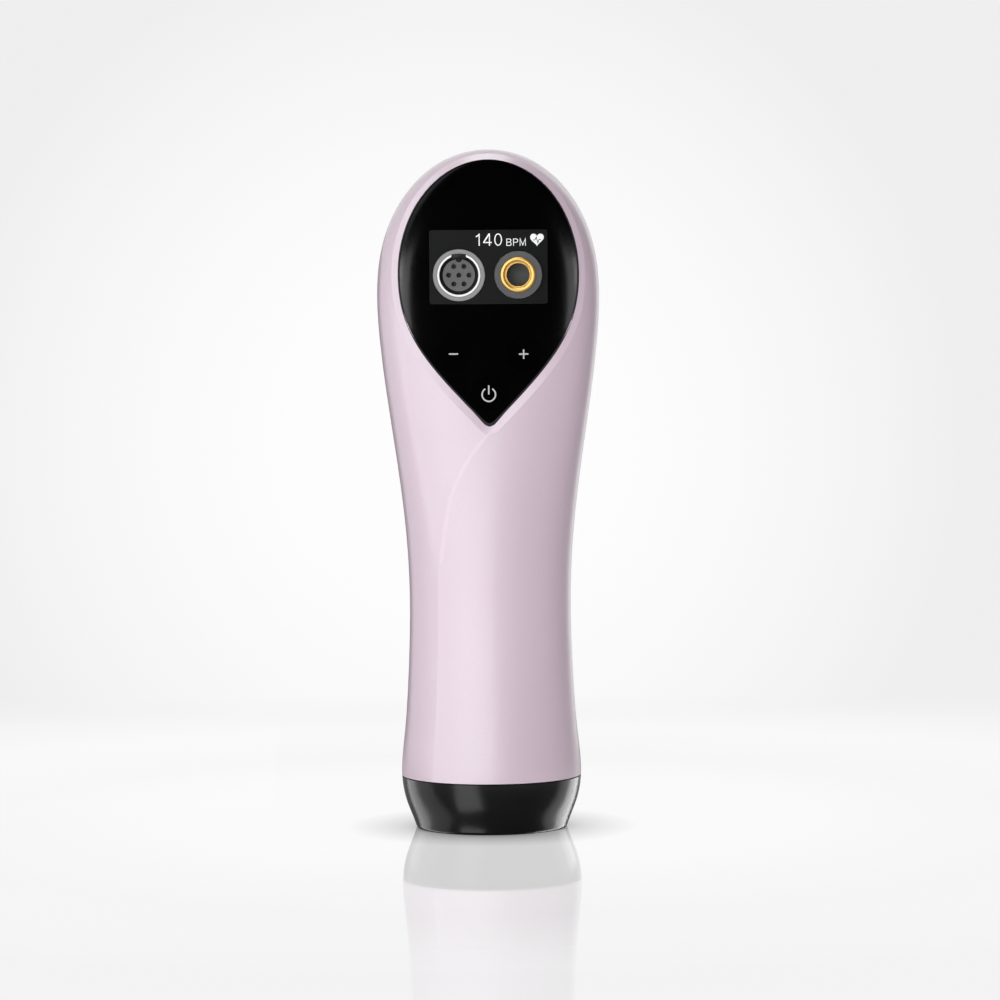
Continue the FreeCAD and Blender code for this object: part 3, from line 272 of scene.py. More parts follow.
# Green solder mask over copper tracks.
def circuitBoard():
    material, tree, shader = startMaterial("boardGreen", (0.02, 0.16, 0.07), 0.4, Coat_Weight=0.3)
    turn = addNode(tree, "ShaderNodeMapping",
                   {"Vector": ownPlace(tree), "Rotation": (math.radians(90), 0.0, 0.0)})
    tracks = addNode(tree, "ShaderNodeTexBrick",
                     {"Vector": turn.outputs["Vector"], "Scale": 220.0, "Mortar Size": 0.05,
                      "Color1": (0.016, 0.15, 0.06, 1.0), "Color2": (0.02, 0.17, 0.075, 1.0),
                      "Mortar": (0.05, 0.27, 0.11, 1.0)})
    tree.links.new(tracks.outputs["Color"], shader.inputs["Base Color"])
    addBump(tree, shader, tracks.outputs["Fac"], 0.00002)
    return material


# Middle of a node's box, seen from the front, as (x, z).
def centreOf(node):
    low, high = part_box(node)
    return ((low[0] + high[0]) / 2, (low[2] + high[2]) / 2)


socketCentre = centreOf("socket_ring")
jackCentre = centreOf("jack_ring")
polishedBlack = {"depth": 0.0000005, "Specular_IOR_Level": 0.25}
jetShades = (0.0008, 0.0008, 0.001), (0.0012, 0.0012, 0.0014)

finishes = {
    "case_pearl": pearlCase(pearlSettings),
    "cap_black": plainFinish("capBlack", (0.006, 0.006, 0.007), (0.009, 0.009, 0.010), 0.2,
                             depth=0.000001),
    "panel_black": plainFinish("panelBlack", *jetShades, 0.18, **polishedBlack),
    "window_smoke": plainFinish("windowSmoke", (0.0150, 0.0158, 0.0155), (0.0165, 0.0172, 0.0168), 0.2,
                                **polishedBlack),
    "key_black": plainFinish("keyBlack", *jetShades, 0.14, **polishedBlack),
    "ring_steel": turnedMetal("ringSteel", (0.22, 0.22, 0.225), (0.28, 0.28, 0.285), 0.34,
                              socketCentre, 0.5),
    "insert_grey": plainFinish("insertGrey", (0.105, 0.105, 0.107), (0.125, 0.125, 0.128), 0.6,
                               grain=5000.0, depth=0.00002),
    "jack_gilt": turnedMetal("jackGilt", (0.82, 0.50, 0.13), (0.92, 0.62, 0.20), 0.24, jackCentre, 0.6),
    "contact_brass": plainFinish("contactBrass", (0.62, 0.43, 0.17), (0.70, 0.52, 0.24), 0.3,
                                 Metallic=1.0),
    "washer_dark": plainFinish("washerDark", (0.078, 0.079, 0.082), (0.090, 0.091, 0.095), 0.55,
                               grain=4000.0, depth=0.00001),
    "probe_grey": plainFinish("probeGrey", (0.27, 0.28, 0.30), (0.31, 0.32, 0.34), 0.42),
    "seal_rubber": plainFinish("sealRubber", (0.010, 0.009, 0.010), (0.016, 0.014, 0.015), 0.75),
    "crystal_ceramic": plainFinish("crystalCeramic", (0.56, 0.53, 0.44), (0.62, 0.59, 0.50), 0.7),
    "backing_rubber": plainFinish("backingRubber", (0.02, 0.02, 0.022), (0.03, 0.03, 0.034), 0.85),
    "inner_white": plainFinish("innerWhite", (0.62, 0.62, 0.60), (0.68, 0.68, 0.66), 0.5),
    "display_glass": plainFinish("displayGlass", (0.004, 0.004, 0.006), (0.006, 0.006, 0.008), 0.08),
    "board_green": circuitBoard(),
    "chip_black": plainFinish("chipBlack", (0.012, 0.012, 0.012), (0.02, 0.02, 0.02), 0.55),
    "screw_steel": plainFinish("screwSteel", (0.48, 0.48, 0.49), (0.60, 0.60, 0.61), 0.3, Metallic=1.0),
    "speaker_black": plainFinish("speakerBlack", (0.02, 0.02, 0.02), (0.028, 0.028, 0.028), 0.7),
    "speaker_cloth": speakerCloth(),
    "cell_sleeve": sleevedCell(),
    "contact_plate": plainFinish("contactPlate", (0.62, 0.62, 0.60), (0.72, 0.72, 0.70), 0.22,
                                 Metallic=1.0),
}
# Single nodes whose surface differs from the rest of their slot.
ownFinishes = {
    # The barrel's steel is made much lighter than the ring's: a painted highlight along the socket's
    # inner lip.
    "socket_barrel": turnedMetal("barrelPaintedHighlight", (0.80, 0.80, 0.80), (0.90, 0.90, 0.90), 0.3,
                                 socketCentre, 0.3),
    # The brass contacts are made nearly black: painted shade down in the socket's holes.
    "socket_contacts": plainFinish("contactPaintedShade", (0.035, 0.030, 0.024), (0.05, 0.044, 0.034), 0.45,
                                   Metallic=0.4),
    "jack_barrel": plainFinish("jackInside", (0.085, 0.092, 0.085), (0.10, 0.108, 0.10), 0.6),
}
readingWhite = printedWhite("readingWhite", (0.90, 0.91, 0.90), 0.25)
# The key signs are print; their small glow is painted light.
symbolGrey = printedWhite("symbolGrey", (0.56, 0.565, 0.56), 0.04)
pulseDark = printedWhite("pulseDark", (0.01, 0.01, 0.011), 0.0)

for part in frame["record"]["subparts"]:
    node = frame["nodes"][part["node"]]
    node.data.materials.clear()
    node.data.materials.append(ownFinishes.get(part["node"]) or finishes[part["material_slot"]])
print("finishes on", len(frame["nodes"]), "nodes")


# The front of some nodes, seen from -Y, to lay things on.
class Surface:
    def __init__(self, *names):
        graph = bpy.context.evaluated_depsgraph_get()
        self.trees = [BVHTree.FromObject(frame["nodes"][name], graph) for name in names]

    def front(self, x, z):
        start = Vector((x, -1.0, z))
        hits = [tree.ray_cast(start, inwards)[0] for tree in self.trees]
        return min(hit.y for hit in hits if hit is not None)


# Puts a finished form in the scene.
def fromForm(name, form, material):
    mesh = bpy.data.meshes.new(name)
    form.to_mesh(mesh)
    form.free()
    mesh.materials.append(material)
    item = bpy.data.objects.new(name, mesh)
    scene.collection.objects.link(item)
    return item


# Makes a piece of the object with faces that point outwards.
def addPiece(name, form, slot, body="case", material=None, smooth=True):
    bmesh.ops.recalc_face_normals(form, faces=form.faces)
    if smooth:
        for face in form.faces:
            face.smooth = True
    piece = fromForm(name, form, material or finishes[slot])
    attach(piece, body)
    return piece


signSettings = {
    "thickness": 0.02 * mm,   # print above the surface
    "sink": 0.01 * mm,        # and into it
    "slice": 0.4 * mm,        # faces are cut this fine, so that they follow the curve
    "merge": 0.0001 * mm,     # points closer than this are one
}


# Turns a flat mesh in its own X and Y into a thin solid on the surface at place (x, z).
def laySign(name, flat, surface, place, material, body="case", slot="display_glass", lift=0.0):
    form = bmesh.new()
    form.from_mesh(flat)
    bpy.data.meshes.remove(flat)
    bmesh.ops.remove_doubles(form, verts=form.verts, dist=signSettings["merge"])
    step = signSettings["slice"]
    for axis, normal in enumerate((Vector((1.0, 0.0, 0.0)), Vector((0.0, 1.0, 0.0)))):
        reach = max(abs(vert.co[axis]) for vert in form.verts)
        count = int(reach / step) + 1
        for index in range(-count, count + 1):
            everything = list(form.verts) + list(form.edges) + list(form.faces)
            bmesh.ops.bisect_plane(form, geom=everything, plane_co=normal * (index * step),
                                   plane_no=normal)
    made = bmesh.ops.extrude_face_region(form, geom=list(form.faces))
    raised = {item for item in made["geom"] if isinstance(item, bmesh.types.BMVert)}
    for vert in form.verts:
        x = place[0] + vert.co.x
        z = place[1] + vert.co.y
        stand = signSettings["thickness"] + lift if vert in raised else -signSettings["sink"]
        vert.co = Vector((x, surface.front(x, z) - stand, z))
    addPiece(name, form, slot, body, material, smooth=False)


# Flat mesh inside closed outlines given as lists of (x, y); an outline inside another is a hole.
def filled(outlines):
    curve = bpy.data.curves.new("outline", "CURVE")
    curve.dimensions = "2D"
    curve.fill_mode = "BOTH"
    for outline in outlines:
        spline = curve.splines.new("POLY")
        spline.points.add(len(outline) - 1)
        for point, (x, y) in zip(spline.points, outline):
            point.co = (x, y, 0.0, 1.0)
        spline.use_cyclic_u = True
    item = bpy.data.objects.new("flat", curve)
    scene.collection.objects.link(item)
    bpy.context.view_layer.update()
    mesh = bpy.data.meshes.new_from_object(item.evaluated_get(bpy.context.evaluated_depsgraph_get()))
    bpy.data.objects.remove(item)
    bpy.data.curves.remove(curve)
    return mesh


# Points along an arc of a circle or an ellipse, angles in degrees.
def arcPoints(centre, radii, start, end, count=14):
    angles = [math.radians(start + (end - start) * index / count) for index in range(count + 1)]
    return [(centre[0] + radii[0] * math.cos(angle), centre[1] + radii[1] * math.sin(angle))
            for angle in angles]


# Outline of a letter's round side, flat at the left.
def bowl(left, right, low, high):
    radius = (high - low) / 2
    side = arcPoints((right - radius, low + radius), (radius, radius), -90, 90)
    return [(left, low)] + side + [(left, high)]


# Outline of a stroke of even width along a bent line; sharpest keeps it from running far out at a bend.
def strokeBand(points, width, sharpest=0.35):
    sides = ([], [])
    for index, point in enumerate(points):
        here = Vector(point)
        before = (here - Vector(points[index - 1])).normalized() if index else None
        after = (Vector(points[index + 1]) - here).normalized() if index + 1 < len(points) else None
        first, last = before or after, after or before
        normal = (Vector((-first.y, first.x)) + Vector((-last.y, last.x))).normalized()
        reach = width / 2 / max(normal.dot(Vector((-first.y, first.x))), sharpest)
        sides[0].append(tuple(here + normal * reach))
        sides[1].append(tuple(here - normal * reach))
    return sides[0] + sides[1][::-1]


# Plain figures and capitals one unit high: outlines, holes included, and each one's width.
def plainGlyphs(stroke):
    stem, level, apex = 0.46, 0.23, 0.43     # the figure four
    waist = 0.52                             # where the bowls of B meet
    shelf = 0.43                             # foot of the bowl of P
    zero = [arcPoints((0.31, 0.5), (0.31 - inset, 0.5 - inset), 0, 360, 40)[:-1]
            for inset in (0.0, stroke)]
    one = [(0.26, 0.0), (0.26 + stroke, 0.0), (0.26 + stroke, 1.0), (0.29, 1.0), (0.18, 0.87),
           (0.04, 0.79), (0.04, 0.69), (0.17, 0.75), (0.26, 0.83)]
    four = [(stem, 0.0), (stem + stroke, 0.0), (stem + stroke, level), (0.69, level),
            (0.69, level + stroke), (stem + stroke, level + stroke), (stem + stroke, 1.0), (apex, 1.0),
            (0.0, level + stroke), (0.0, level), (stem, level)]
    fourHole = [(stem, level + stroke), (stem, 0.82), (0.12, level + stroke)]
    letterB = [(0.0, 0.0)] + bowl(0.3, 0.68, 0.0, waist) + bowl(0.3, 0.64, waist, 1.0) + [(0.0, 1.0)]
    holesB = [bowl(stroke, 0.68 - stroke, stroke, waist - stroke / 2),
              bowl(stroke, 0.64 - stroke, waist + stroke / 2, 1.0 - stroke)]
    letterP = [(0.0, 0.0), (stroke, 0.0), (stroke, shelf)] + bowl(0.3, 0.66, shelf, 1.0) + [(0.0, 1.0)]
    holeP = bowl(stroke, 0.66 - stroke, shelf + stroke, 1.0 - stroke)
    half = stroke / 2
    bends = [(half, 0.0), (half, 1.0), (0.40, 0.1), (0.80 - half, 1.0), (0.80 - half, 0.0)]
    letterM = strokeBand(bends, stroke)
    return {"0": (zero, 0.62), "1": ([one], 0.42), "4": ([four, fourHole], 0.69),
            "B": ([letterB] + holesB, 0.68), "P": ([letterP, holeP], 0.66), "M": ([letterM], 0.80)}


# Flat mesh of plain lettering centred on its own middle; stroke, gap and wide are shares of its height.
def lettering(text, height, stroke, gap, wide):
    glyphs = plainGlyphs(stroke)
    outlines = []
    along = 0.0
    for letter in text:
        shapes, width = glyphs[letter]
        outlines += [[(x + along, y) for x, y in shape] for shape in shapes]
        along += width + gap
    middle = (along - gap) / 2
    return filled([[((x - middle) * height * wide, (y - 0.5) * height) for x, y in shape]
                   for shape in outlines])


def bar(length, width, turned=False):
    x, y = (width / 2, length / 2) if turned else (length / 2, width / 2)
    return [(-x, -y), (x, -y), (x, y), (-x, y)]


# Outline of a plus sign.
def crossOutline(length, width):
    long, short = length / 2, width / 2
    quarter = [(long, -short), (long, short), (short, short)]
    outline = []
    for _ in range(4):
        outline += quarter
        quarter = [(-y, x) for x, y in quarter]
    return [point for index, point in enumerate(outline) if index == 0 or point != outline[index - 1]]


# Outline of a band along an arc, angles in degrees.
def arcBand(radius, width, start, end, count=48):
    outer = arcPoints((0.0, 0.0), (radius + width / 2,) * 2, start, end, count)
    inner = arcPoints((0.0, 0.0), (radius - width / 2,) * 2, start, end, count)
    return outer + inner[::-1]


# The usual heart curve, scaled to its own box.
def heartOutline(width, height, count=64):
    def curvePoint(angle):
        x = 16 * math.sin(angle) ** 3
        y = (13 * math.cos(angle) - 5 * math.cos(2 * angle) - 2 * math.cos(3 * angle)
             - math.cos(4 * angle))
        return x, y

    def scaled(values, size):
        low, high = min(values), max(values)
        return [(value - (low + high) / 2) * size / (high - low) for value in values]

    points = [curvePoint(2 * math.pi * index / count) for index in range(count)]
    return list(zip(scaled([x for x, _ in points], width), scaled([y for _, y in points], height)))


readingSettings = {
    "level": 139.15 * mm,
    # stroke, gap and wide are shares of the height
    "number": {"text": "140", "x": 0.10 * mm, "height": 2.85 * mm, "stroke": 0.085, "gap": 0.20,
               "wide": 1.02, "drop": 0.0},
    "unit": {"text": "BPM", "x": 6.46 * mm, "height": 1.68 * mm, "stroke": 0.10, "gap": 0.2,
             "wide": 1.06, "drop": 0.63 * mm},
    "heart": {"x": 11.32 * mm, "width": 3.2 * mm, "height": 2.95 * mm, "drop": 0.17 * mm},
    # shares of half the heart's width
    "pulse": [(-0.62, 0.0), (-0.3, 0.0), (-0.1, 0.42), (0.12, -0.42), (0.3, 0.06), (0.62, 0.06)],
    "pulseWidth": 0.17 * mm,
    "pulseLift": 0.012 * mm,   # above the heart
}


# The lit part of the display: a number, its unit and a heart with a pulse line.
def addReading(settings):
    glass = Surface("display_window", "face_lens")
    level = settings["level"]
    for name in ("number", "unit"):
        words = settings[name]
        flat = lettering(words["text"], words["height"], words["stroke"], words["gap"], words["wide"])
        laySign("reading_" + name, flat, glass, (words["x"], level - words["drop"]), readingWhite)
    heart = settings["heart"]
    flat = filled([heartOutline(heart["width"], heart["height"])])
    place = (heart["x"], level - heart["drop"])
    laySign("reading_heart", flat, glass, place, readingWhite)
    half = heart["width"] / 2
    beat = [(x * half, y * half) for x, y in settings["pulse"]]
    flat = filled([strokeBand(beat, settings["pulseWidth"])])
    laySign("reading_pulse", flat, glass, place, pulseDark, lift=settings["pulseLift"])


signsOnKeys = {
    "minus": {"length": 2.15 * mm, "width": 0.32 * mm, "shift": (-0.18 * mm, -0.13 * mm)},
    "plus": {"length": 2.2 * mm, "width": 0.34 * mm, "shift": (-0.05 * mm, -0.25 * mm)},
    "power": {"radius": 1.56 * mm, "width": 0.34 * mm, "opening": 62, "bar": 2.1 * mm,
              "barRise": 1.09 * mm, "shift": (-0.14 * mm, -0.40 * mm)},
}


# Minus, plus and power signs, each printed on its own key.
def addKeySigns(settings):
    power = settings["power"]
    opening = power["opening"] / 2
    ring = arcBand(power["radius"], power["width"], 90 + opening, 450 - opening)
    mark = [(x, y + power["barRise"]) for x, y in bar(power["bar"], power["width"], True)]
    outlines = {
        "minus": [bar(settings["minus"]["length"], settings["minus"]["width"])],
        "plus": [crossOutline(settings["plus"]["length"], settings["plus"]["width"])],
        "power": [ring, mark],
    }
    for name, shape in outlines.items():
        face = Surface(name + "_key")
        centre = centreOf(name + "_key")
        shift = settings[name]["shift"]
        place = (centre[0] + shift[0], centre[1] + shift[1])
        laySign(name + "_sign", filled(shape), face, place, symbolGrey, name + "_key_body", "key_black")


addReading(readingSettings)
addKeySigns(signsOnKeys)
print("signs printed")

sleeveSettings = {
    "circle": 2.35 * mm,      # radius of the contact circle
    "count": 6,
    "inner": 0.55 * mm,
    "wall": 0.17 * mm,
    "stand": 0.06 * mm,       # rim in front of the insert
    "length": 0.5 * mm,
}


# A Geometry Nodes tree with a named input for each size: the tree, what it is given and where it ends.
def addTree(name, sizes):
    tree = bpy.data.node_groups.new(name, "GeometryNodeTree")
    tree.interface.new_socket("Geometry", in_out="OUTPUT", socket_type="NodeSocketGeometry")
    for label, value in sizes.items():
        kind = "NodeSocketInt" if isinstance(value, int) else "NodeSocketFloat"
        socket = tree.interface.new_socket(label, in_out="INPUT", socket_type=kind)
        socket.default_value = value
    given = tree.nodes.new("NodeGroupInput").outputs
    return tree, given, tree.nodes.new("NodeGroupOutput").inputs["Geometry"]


# Evaluates the tree on an empty mesh, puts the result at place and returns a plain piece.
def runTree(name, tree, sizes, place):
    holder = bpy.data.objects.new(name, bpy.data.meshes.new(name))
    scene.collection.objects.link(holder)
    modifier = holder.modifiers.new("made", "NODES")
    modifier.node_group = tree
    for socket in tree.interface.items_tree:
        if socket.in_out == "INPUT":
            modifier[socket.identifier] = sizes[socket.name]
    bpy.context.view_layer.update()
    made = holder.evaluated_get(bpy.context.evaluated_depsgraph_get())
    mesh = bpy.data.meshes.new_from_object(made)
    holder.modifiers.remove(modifier)
    holder.data = mesh
    mesh.transform(place)
    return holder


# A ring of sleeves round one in the middle, each a closed tube with rounded edges.
def sleeveTree(sizes, material):
    tree, given, end = addTree("contactSleeves", sizes)
    ring = addNode(tree, "GeometryNodeMeshCircle",
                   {"Vertices": given["count"], "Radius": given["circle"]})
    middle = addNode(tree, "GeometryNodeMeshLine", {"Count": 1})
    places = addNode(tree, "GeometryNodeJoinGeometry")
    for points in (ring, middle):
        tree.links.new(points.outputs["Mesh"], places.inputs["Geometry"])
    radius = addNode(tree, "ShaderNodeMath", {0: given["wall"], 1: 0.5, 2: given["inner"]},
                     operation="MULTIPLY_ADD")
    path = addNode(tree, "GeometryNodeCurvePrimitiveCircle",
                   {"Resolution": 40, "Radius": radius.outputs["Value"]})
    profile = addNode(tree, "GeometryNodeCurvePrimitiveQuadrilateral",
                      {"Width": given["wall"], "Height": given["length"]})
    rounding = compute(tree, "MULTIPLY", given["wall"], 0.3)
    rounded = addNode(tree, "GeometryNodeFilletCurve",
                      {"Curve": profile.outputs["Curve"], "Count": 3, "Radius": rounding}, mode="POLY")
    sleeve = addNode(tree, "GeometryNodeCurveToMesh",
                     {"Curve": path.outputs["Curve"], "Profile Curve": rounded.outputs["Curve"]})
    copies = addNode(tree, "GeometryNodeInstanceOnPoints",
                     {"Points": places.outputs["Geometry"], "Instance": sleeve.outputs["Mesh"]})
    real = addNode(tree, "GeometryNodeRealizeInstances", {"Geometry": copies.outputs["Instances"]})
    coat = addNode(tree, "GeometryNodeSetMaterial",
                   {"Geometry": real.outputs["Geometry"], "Material": material})
    tree.links.new(coat.outputs["Geometry"], end)
    return tree


def addSleeves(settings):
    sizes = {label: settings[label] for label in ("count", "circle", "inner", "wall", "length")}
    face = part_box("socket_insert")[0][1]
    turnUp = Matrix.Rotation(math.radians(90), 4, "X")
    depth = face + settings["length"] / 2 - settings["stand"]
    place = Matrix.Translation((socketCentre[0], depth, socketCentre[1])) @ turnUp
    sleeves = runTree("contact_sleeves", sleeveTree(sizes, finishes["insert_grey"]), sizes, place)
    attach(sleeves, "case")


addSleeves(sleeveSettings)
print("contact sleeves made")


# Faces between closed rows of points, one row after another.
def joinRows(form, rows):
    for row, following in zip(rows, rows[1:]):
        for corner in range(len(row)):
            after = (corner + 1) % len(row)
            form.faces.new((row[corner], row[after], following[after], following[corner]))


# Joins closed sections of points into a closed ring.
def ringOf(sections):
    form = bmesh.new()
    rows = [[form.verts.new(point) for point in section] for section in sections]
    joinRows(form, rows + rows[:1])
    return form


# A closed profile of (radius, height above level) turned about an axis along Y.
def turnedRing(profile, centre, level, steps=120):
    sections = []
    for index in range(steps):
        angle = 2 * math.pi * index / steps
        out = (math.cos(angle), math.sin(angle))
        sections.append([(centre[0] + radius * out[0], level - height, centre[1] + radius * out[1])
                         for radius, height in profile])
    return ringOf(sections)


# A flat plate from level to level + depth, from an outline of (x, z) about a centre.
def addPlate(name, outline, centre, level, depth, slot="seal_rubber", rounding=0.04 * mm):
    form = bmesh.new()
    sides = []
    for y in (level, level + depth):
        sides.append([form.verts.new((centre[0] + x, y, centre[1] + z)) for x, z in outline])
        form.faces.new(sides[-1])
    joinRows(form, sides)
    bmesh.ops.bevel(form, geom=list(form.edges), offset=rounding, segments=2, affect="EDGES")
    addPiece(name, form, slot)


socketSettings = {
    # seal: the black ring in the channel round the insert, painted shade
    "seal": (3.77 * mm, 4.52 * mm),      # inner and outer radius
    "shadeRingDepth": (3.6 * mm, 1.9 * mm),   # below the ring's face
    "shadeRingRounding": 0.12 * mm,
    "slotWidth": 3.4 * mm,
    "slotRise": (3.98 * mm, 4.96 * mm),  # above the centre
    "slotSpan": 24,                      # half of the slot's lower side, in degrees round the centre
    "slotDepth": 1.2 * mm,
    "slotStand": 0.03 * mm,              # in front of the ring
    "keyway": 0.70 * mm,
    "keywayRise": 3.75 * mm,
    "keywaySink": 0.12 * mm,             # behind the insert's front
    "keywayDepth": 0.8 * mm,
}


# Black ring in the channel round the insert, a dark plate in the keying slot above it and a dark plug
# in the insert's keyway: painted shade in the socket's hollows.
def addSocketDetails(settings):
    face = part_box("socket_ring")[0][1]
    low, high = settings["shadeRingDepth"]
    inner, outer = settings["seal"]
    rounding = settings["shadeRingRounding"]
    profile = [(inner, -low), (outer, -low), (outer, -high - rounding), (outer - rounding, -high),
               (inner + rounding, -high), (inner, -high - rounding)]
    # Painted shade: a black ring in the channel round the insert.
    addPiece("socket_shade_ring", turnedRing(profile, socketCentre, face), "seal_rubber")
    half, span = settings["slotWidth"] / 2, settings["slotSpan"]
    bottom, top = settings["slotRise"]
    lower = arcPoints((0.0, 0.0), (bottom, bottom), 90 - span, 90 + span, 12)
    outline = lower + [(-half, top), (half, top)]
    # Painted shade: a dark plate filling the keying slot.
    addPlate("socket_slot_shade", outline, socketCentre, face - settings["slotStand"], settings["slotDepth"])
    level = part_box("socket_insert")[0][1] + settings["keywaySink"]
    outline = arcPoints((0.0, settings["keywayRise"]), (settings["keyway"],) * 2, 0, 345, 23)
    # Painted shade: a dark plug in the insert's keyway.
    addPlate("socket_keyway_shade", outline, socketCentre, level, settings["keywayDepth"])


jackSettings = {
    # radius and height above the washer, in mm: an outer bead, a groove and an inner lip
    "profile": [(4.12, -0.05), (4.10, 0.10), (4.00, 0.21), (3.82, 0.29), (3.56, 0.32), (3.32, 0.28),
                (3.15, 0.18), (3.07, 0.05), (3.02, -0.12), (2.96, -0.02), (2.88, 0.07), (2.78, 0.09),
                (2.69, 0.03), (2.66, -0.10), (2.66, -1.20), (4.0, -1.20)],
}


# Gilt ring of the jack, turned with a bead and an inner lip.
def addJackRing(settings):
    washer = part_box("jack_washer")[0][1]
    profile = [(radius * mm, height * mm) for radius, height in settings["profile"]]
    ring = addPiece("jack_turned_ring", turnedRing(profile, jackCentre, washer), "jack_gilt")
    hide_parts("jack_ring")


addSocketDetails(socketSettings)
addJackRing(jackSettings)
print("sockets detailed")

panelGapShadeSettings = {
    "centre": (0.0, 127.0 * mm),   # the panel's outline is looked for round this point,
    "reach": 45 * mm,              # from this far out inwards
    "stride": 0.3 * mm,
    "halvings": 12,
    "steps": 240,
    "inside": 0.07 * mm,           # over the panel's edge,
    "levelAt": 2.5,                # whose level is taken this many times as far in
    "outside": 0.42 * mm,          # over the lip of the case
    "atTip": 0.30 * mm,            # more of it at the lower tip,
    "tipHeight": 4 * mm,           # up to this height above it
    "stand": 0.05 * mm,
}


# The panel's outline from the front, as points in turn round its centre.
def panelOutline(settings):
    lens = Surface("face_lens").trees[0]
    centre = Vector((settings["centre"][0], -1.0, settings["centre"][1]))
    outline = []
    for index in range(settings["steps"]):
        angle = 2 * math.pi * index / settings["steps"]
        out = Vector((math.cos(angle), 0.0, math.sin(angle)))
        inner = settings["reach"]
        while lens.ray_cast(centre + out * inner, inwards)[0] is None:
            inner -= settings["stride"]
        outer = inner + settings["stride"]
        for _ in range(settings["halvings"]):
            middle = (inner + outer) / 2
            if lens.ray_cast(centre + out * middle, inwards)[0] is None:
                outer = middle
            else:
                inner = middle
        outline.append(Vector((centre.x + out.x * inner, centre.z + out.z * inner)))
    return outline


# Thin dark strip that covers the gap between the panel and the lip of the case: painted shade of the
# gap line.
def addPanelGapShade(settings):
    outline = panelOutline(settings)
    count = len(outline)
    smooth = [(outline[index - 1] + outline[index] * 2 + outline[(index + 1) % count]) / 4
              for index in range(count)]
    lens, lip = Surface("face_lens"), Surface("front_shell")
    inside, stand = settings["inside"], settings["stand"]
    sections = []
    lowest = min(point.y for point in smooth)
    for index, point in enumerate(smooth):
        run = (smooth[(index + 1) % count] - smooth[index - 1]).normalized()
        away = Vector((run.y, -run.x))
        nearTip = max(0.0, 1 - (point.y - lowest) / settings["tipHeight"])
        outside = settings["outside"] + settings["atTip"] * nearTip ** 2
        onLens = point - away * inside * settings["levelAt"]
        onLip = point + away * outside
        lensLevel = lens.front(onLens.x, onLens.y)
        lipLevel = lip.front(onLip.x, onLip.y)
        crest = min(lensLevel, lipLevel) - stand
        # (away from the panel's outline, level): its face from panel to lip, then its underside
        section = [(-inside, lensLevel + stand / 2), (-inside * 0.4, crest + stand * 0.3),
                   (outside * 0.35, crest), (outside * 0.8, lipLevel - stand * 0.5),
                   (outside, lipLevel + stand * 0.4), (outside * 0.9, lipLevel + stand * 3),
                   (-inside * 0.8, lensLevel + stand * 3)]
        sections.append([(point.x + away.x * shift, y, point.y + away.y * shift)
                         for shift, y in section])
    # Painted shade: the dark strip over the gap round the panel.
    addPiece("panel_gap_shade", ringOf(sections), "seal_rubber")


addPanelGapShade(panelGapShadeSettings)
print("panel seal laid")

creaseSettings = {
    # (x, z) in mm down the grip, and the share of the full height there
    "path": [(2.42, 97.0, 0.1), (0.54, 94.7, 0.3), (-1.33, 92.6, 0.45), (-3.45, 90.1, 0.55),
             (-5.50, 87.05, 0.7), (-7.18, 84.0, 0.85), (-8.48, 80.97, 1.0), (-9.40, 77.9, 1.0),
             (-10.09, 74.6, 1.0), (-10.69, 71.3, 0.85), (-11.15, 68.0, 0.6), (-11.45, 65.0, 0.3),
             (-11.60, 63.0, 0.05)],
    # points across it, as shares of its width to each side
    "across": (-1.3, -1.1, -0.9, -0.7, -0.45, -0.2, 0.0, 0.2, 0.45, 0.7, 0.9, 1.1, 1.3),
    "height": 0.08 * mm,
    "left": 0.50 * mm,    # from its crest to where its left side meets the case
    "right": 0.62 * mm,
    "sink": 0.012 * mm,   # so much of its sides lies in the case
    "under": 0.12 * mm,   # and its underside is this deep
    "fine": 8,            # steps between two points of the path
    # lighter: the bead's pearl against the case's, a painted highlight along the crease
    "lighter": 1.07,      # than the case
}


# A point and height on the path, share of the way from one point to the next, along a smooth curve.
def pathPoint(path, index, share):
    before, start, end, after = (Vector(path[min(max(place, 0), len(path) - 1)])
                                 for place in (index - 1, index, index + 1, index + 2))
    return (start * 2 + (end - before) * share + (before * 2 - start * 5 + end * 4 - after) * share ** 2
            + (start * 3 - before - end * 3 + after) * share ** 3) / 2


# Low rounded bead along the crease that runs on from the lip down the left of the grip.
def addCrease(settings):
    path, fine = settings["path"], settings["fine"]
    shell = Surface("front_shell")
    stops = [pathPoint(path, index, step / fine)
             for index in range(len(path) - 1) for step in range(fine)]
    stops.append(Vector(path[-1]))
    form = bmesh.new()
    rows = []
    for index, stop in enumerate(stops):
        run = stops[min(index + 1, len(stops) - 1)] - stops[max(index - 1, 0)]
        across = Vector((-run.y, run.x)).normalized()
        across = across if across.x < 0 else -across
        section = []
        for side in settings["across"]:
            reach = settings["right"] if side < 0 else settings["left"]
            rise = settings["height"] * stop.z * (1 - side * side)
            section.append((side * reach, rise - settings["sink"]))
        section += [(settings["left"], -settings["under"]), (-settings["right"], -settings["under"])]
        row = []
        for shift, rise in section:
            x, z = stop.x * mm + across.x * shift, stop.y * mm + across.y * shift
            row.append(form.verts.new((x, shell.front(x, z) - rise, z)))
        rows.append(row)
    joinRows(form, rows)
    form.faces.new(rows[0])
    form.faces.new(rows[-1])
    # Its pearl is made lighter than the case's: a painted highlight along the crease.
    paintedHighlightPearl = dict(pearlSettings)
    for shade in ("dark", "light"):
        paintedHighlightPearl[shade] = tuple(value * settings["lighter"] for value in pearlSettings[shade])
    addPiece("crease_bead", form, "case_pearl", material=pearlCase(paintedHighlightPearl))


addCrease(creaseSettings)
print("crease laid")

screwSettings = {
    "count": 4,
    "length": 2.5 * mm,
    "width": 0.5 * mm,
    "depth": 0.6 * mm,
    "stand": 0.02 * mm,   # in front of the head
}


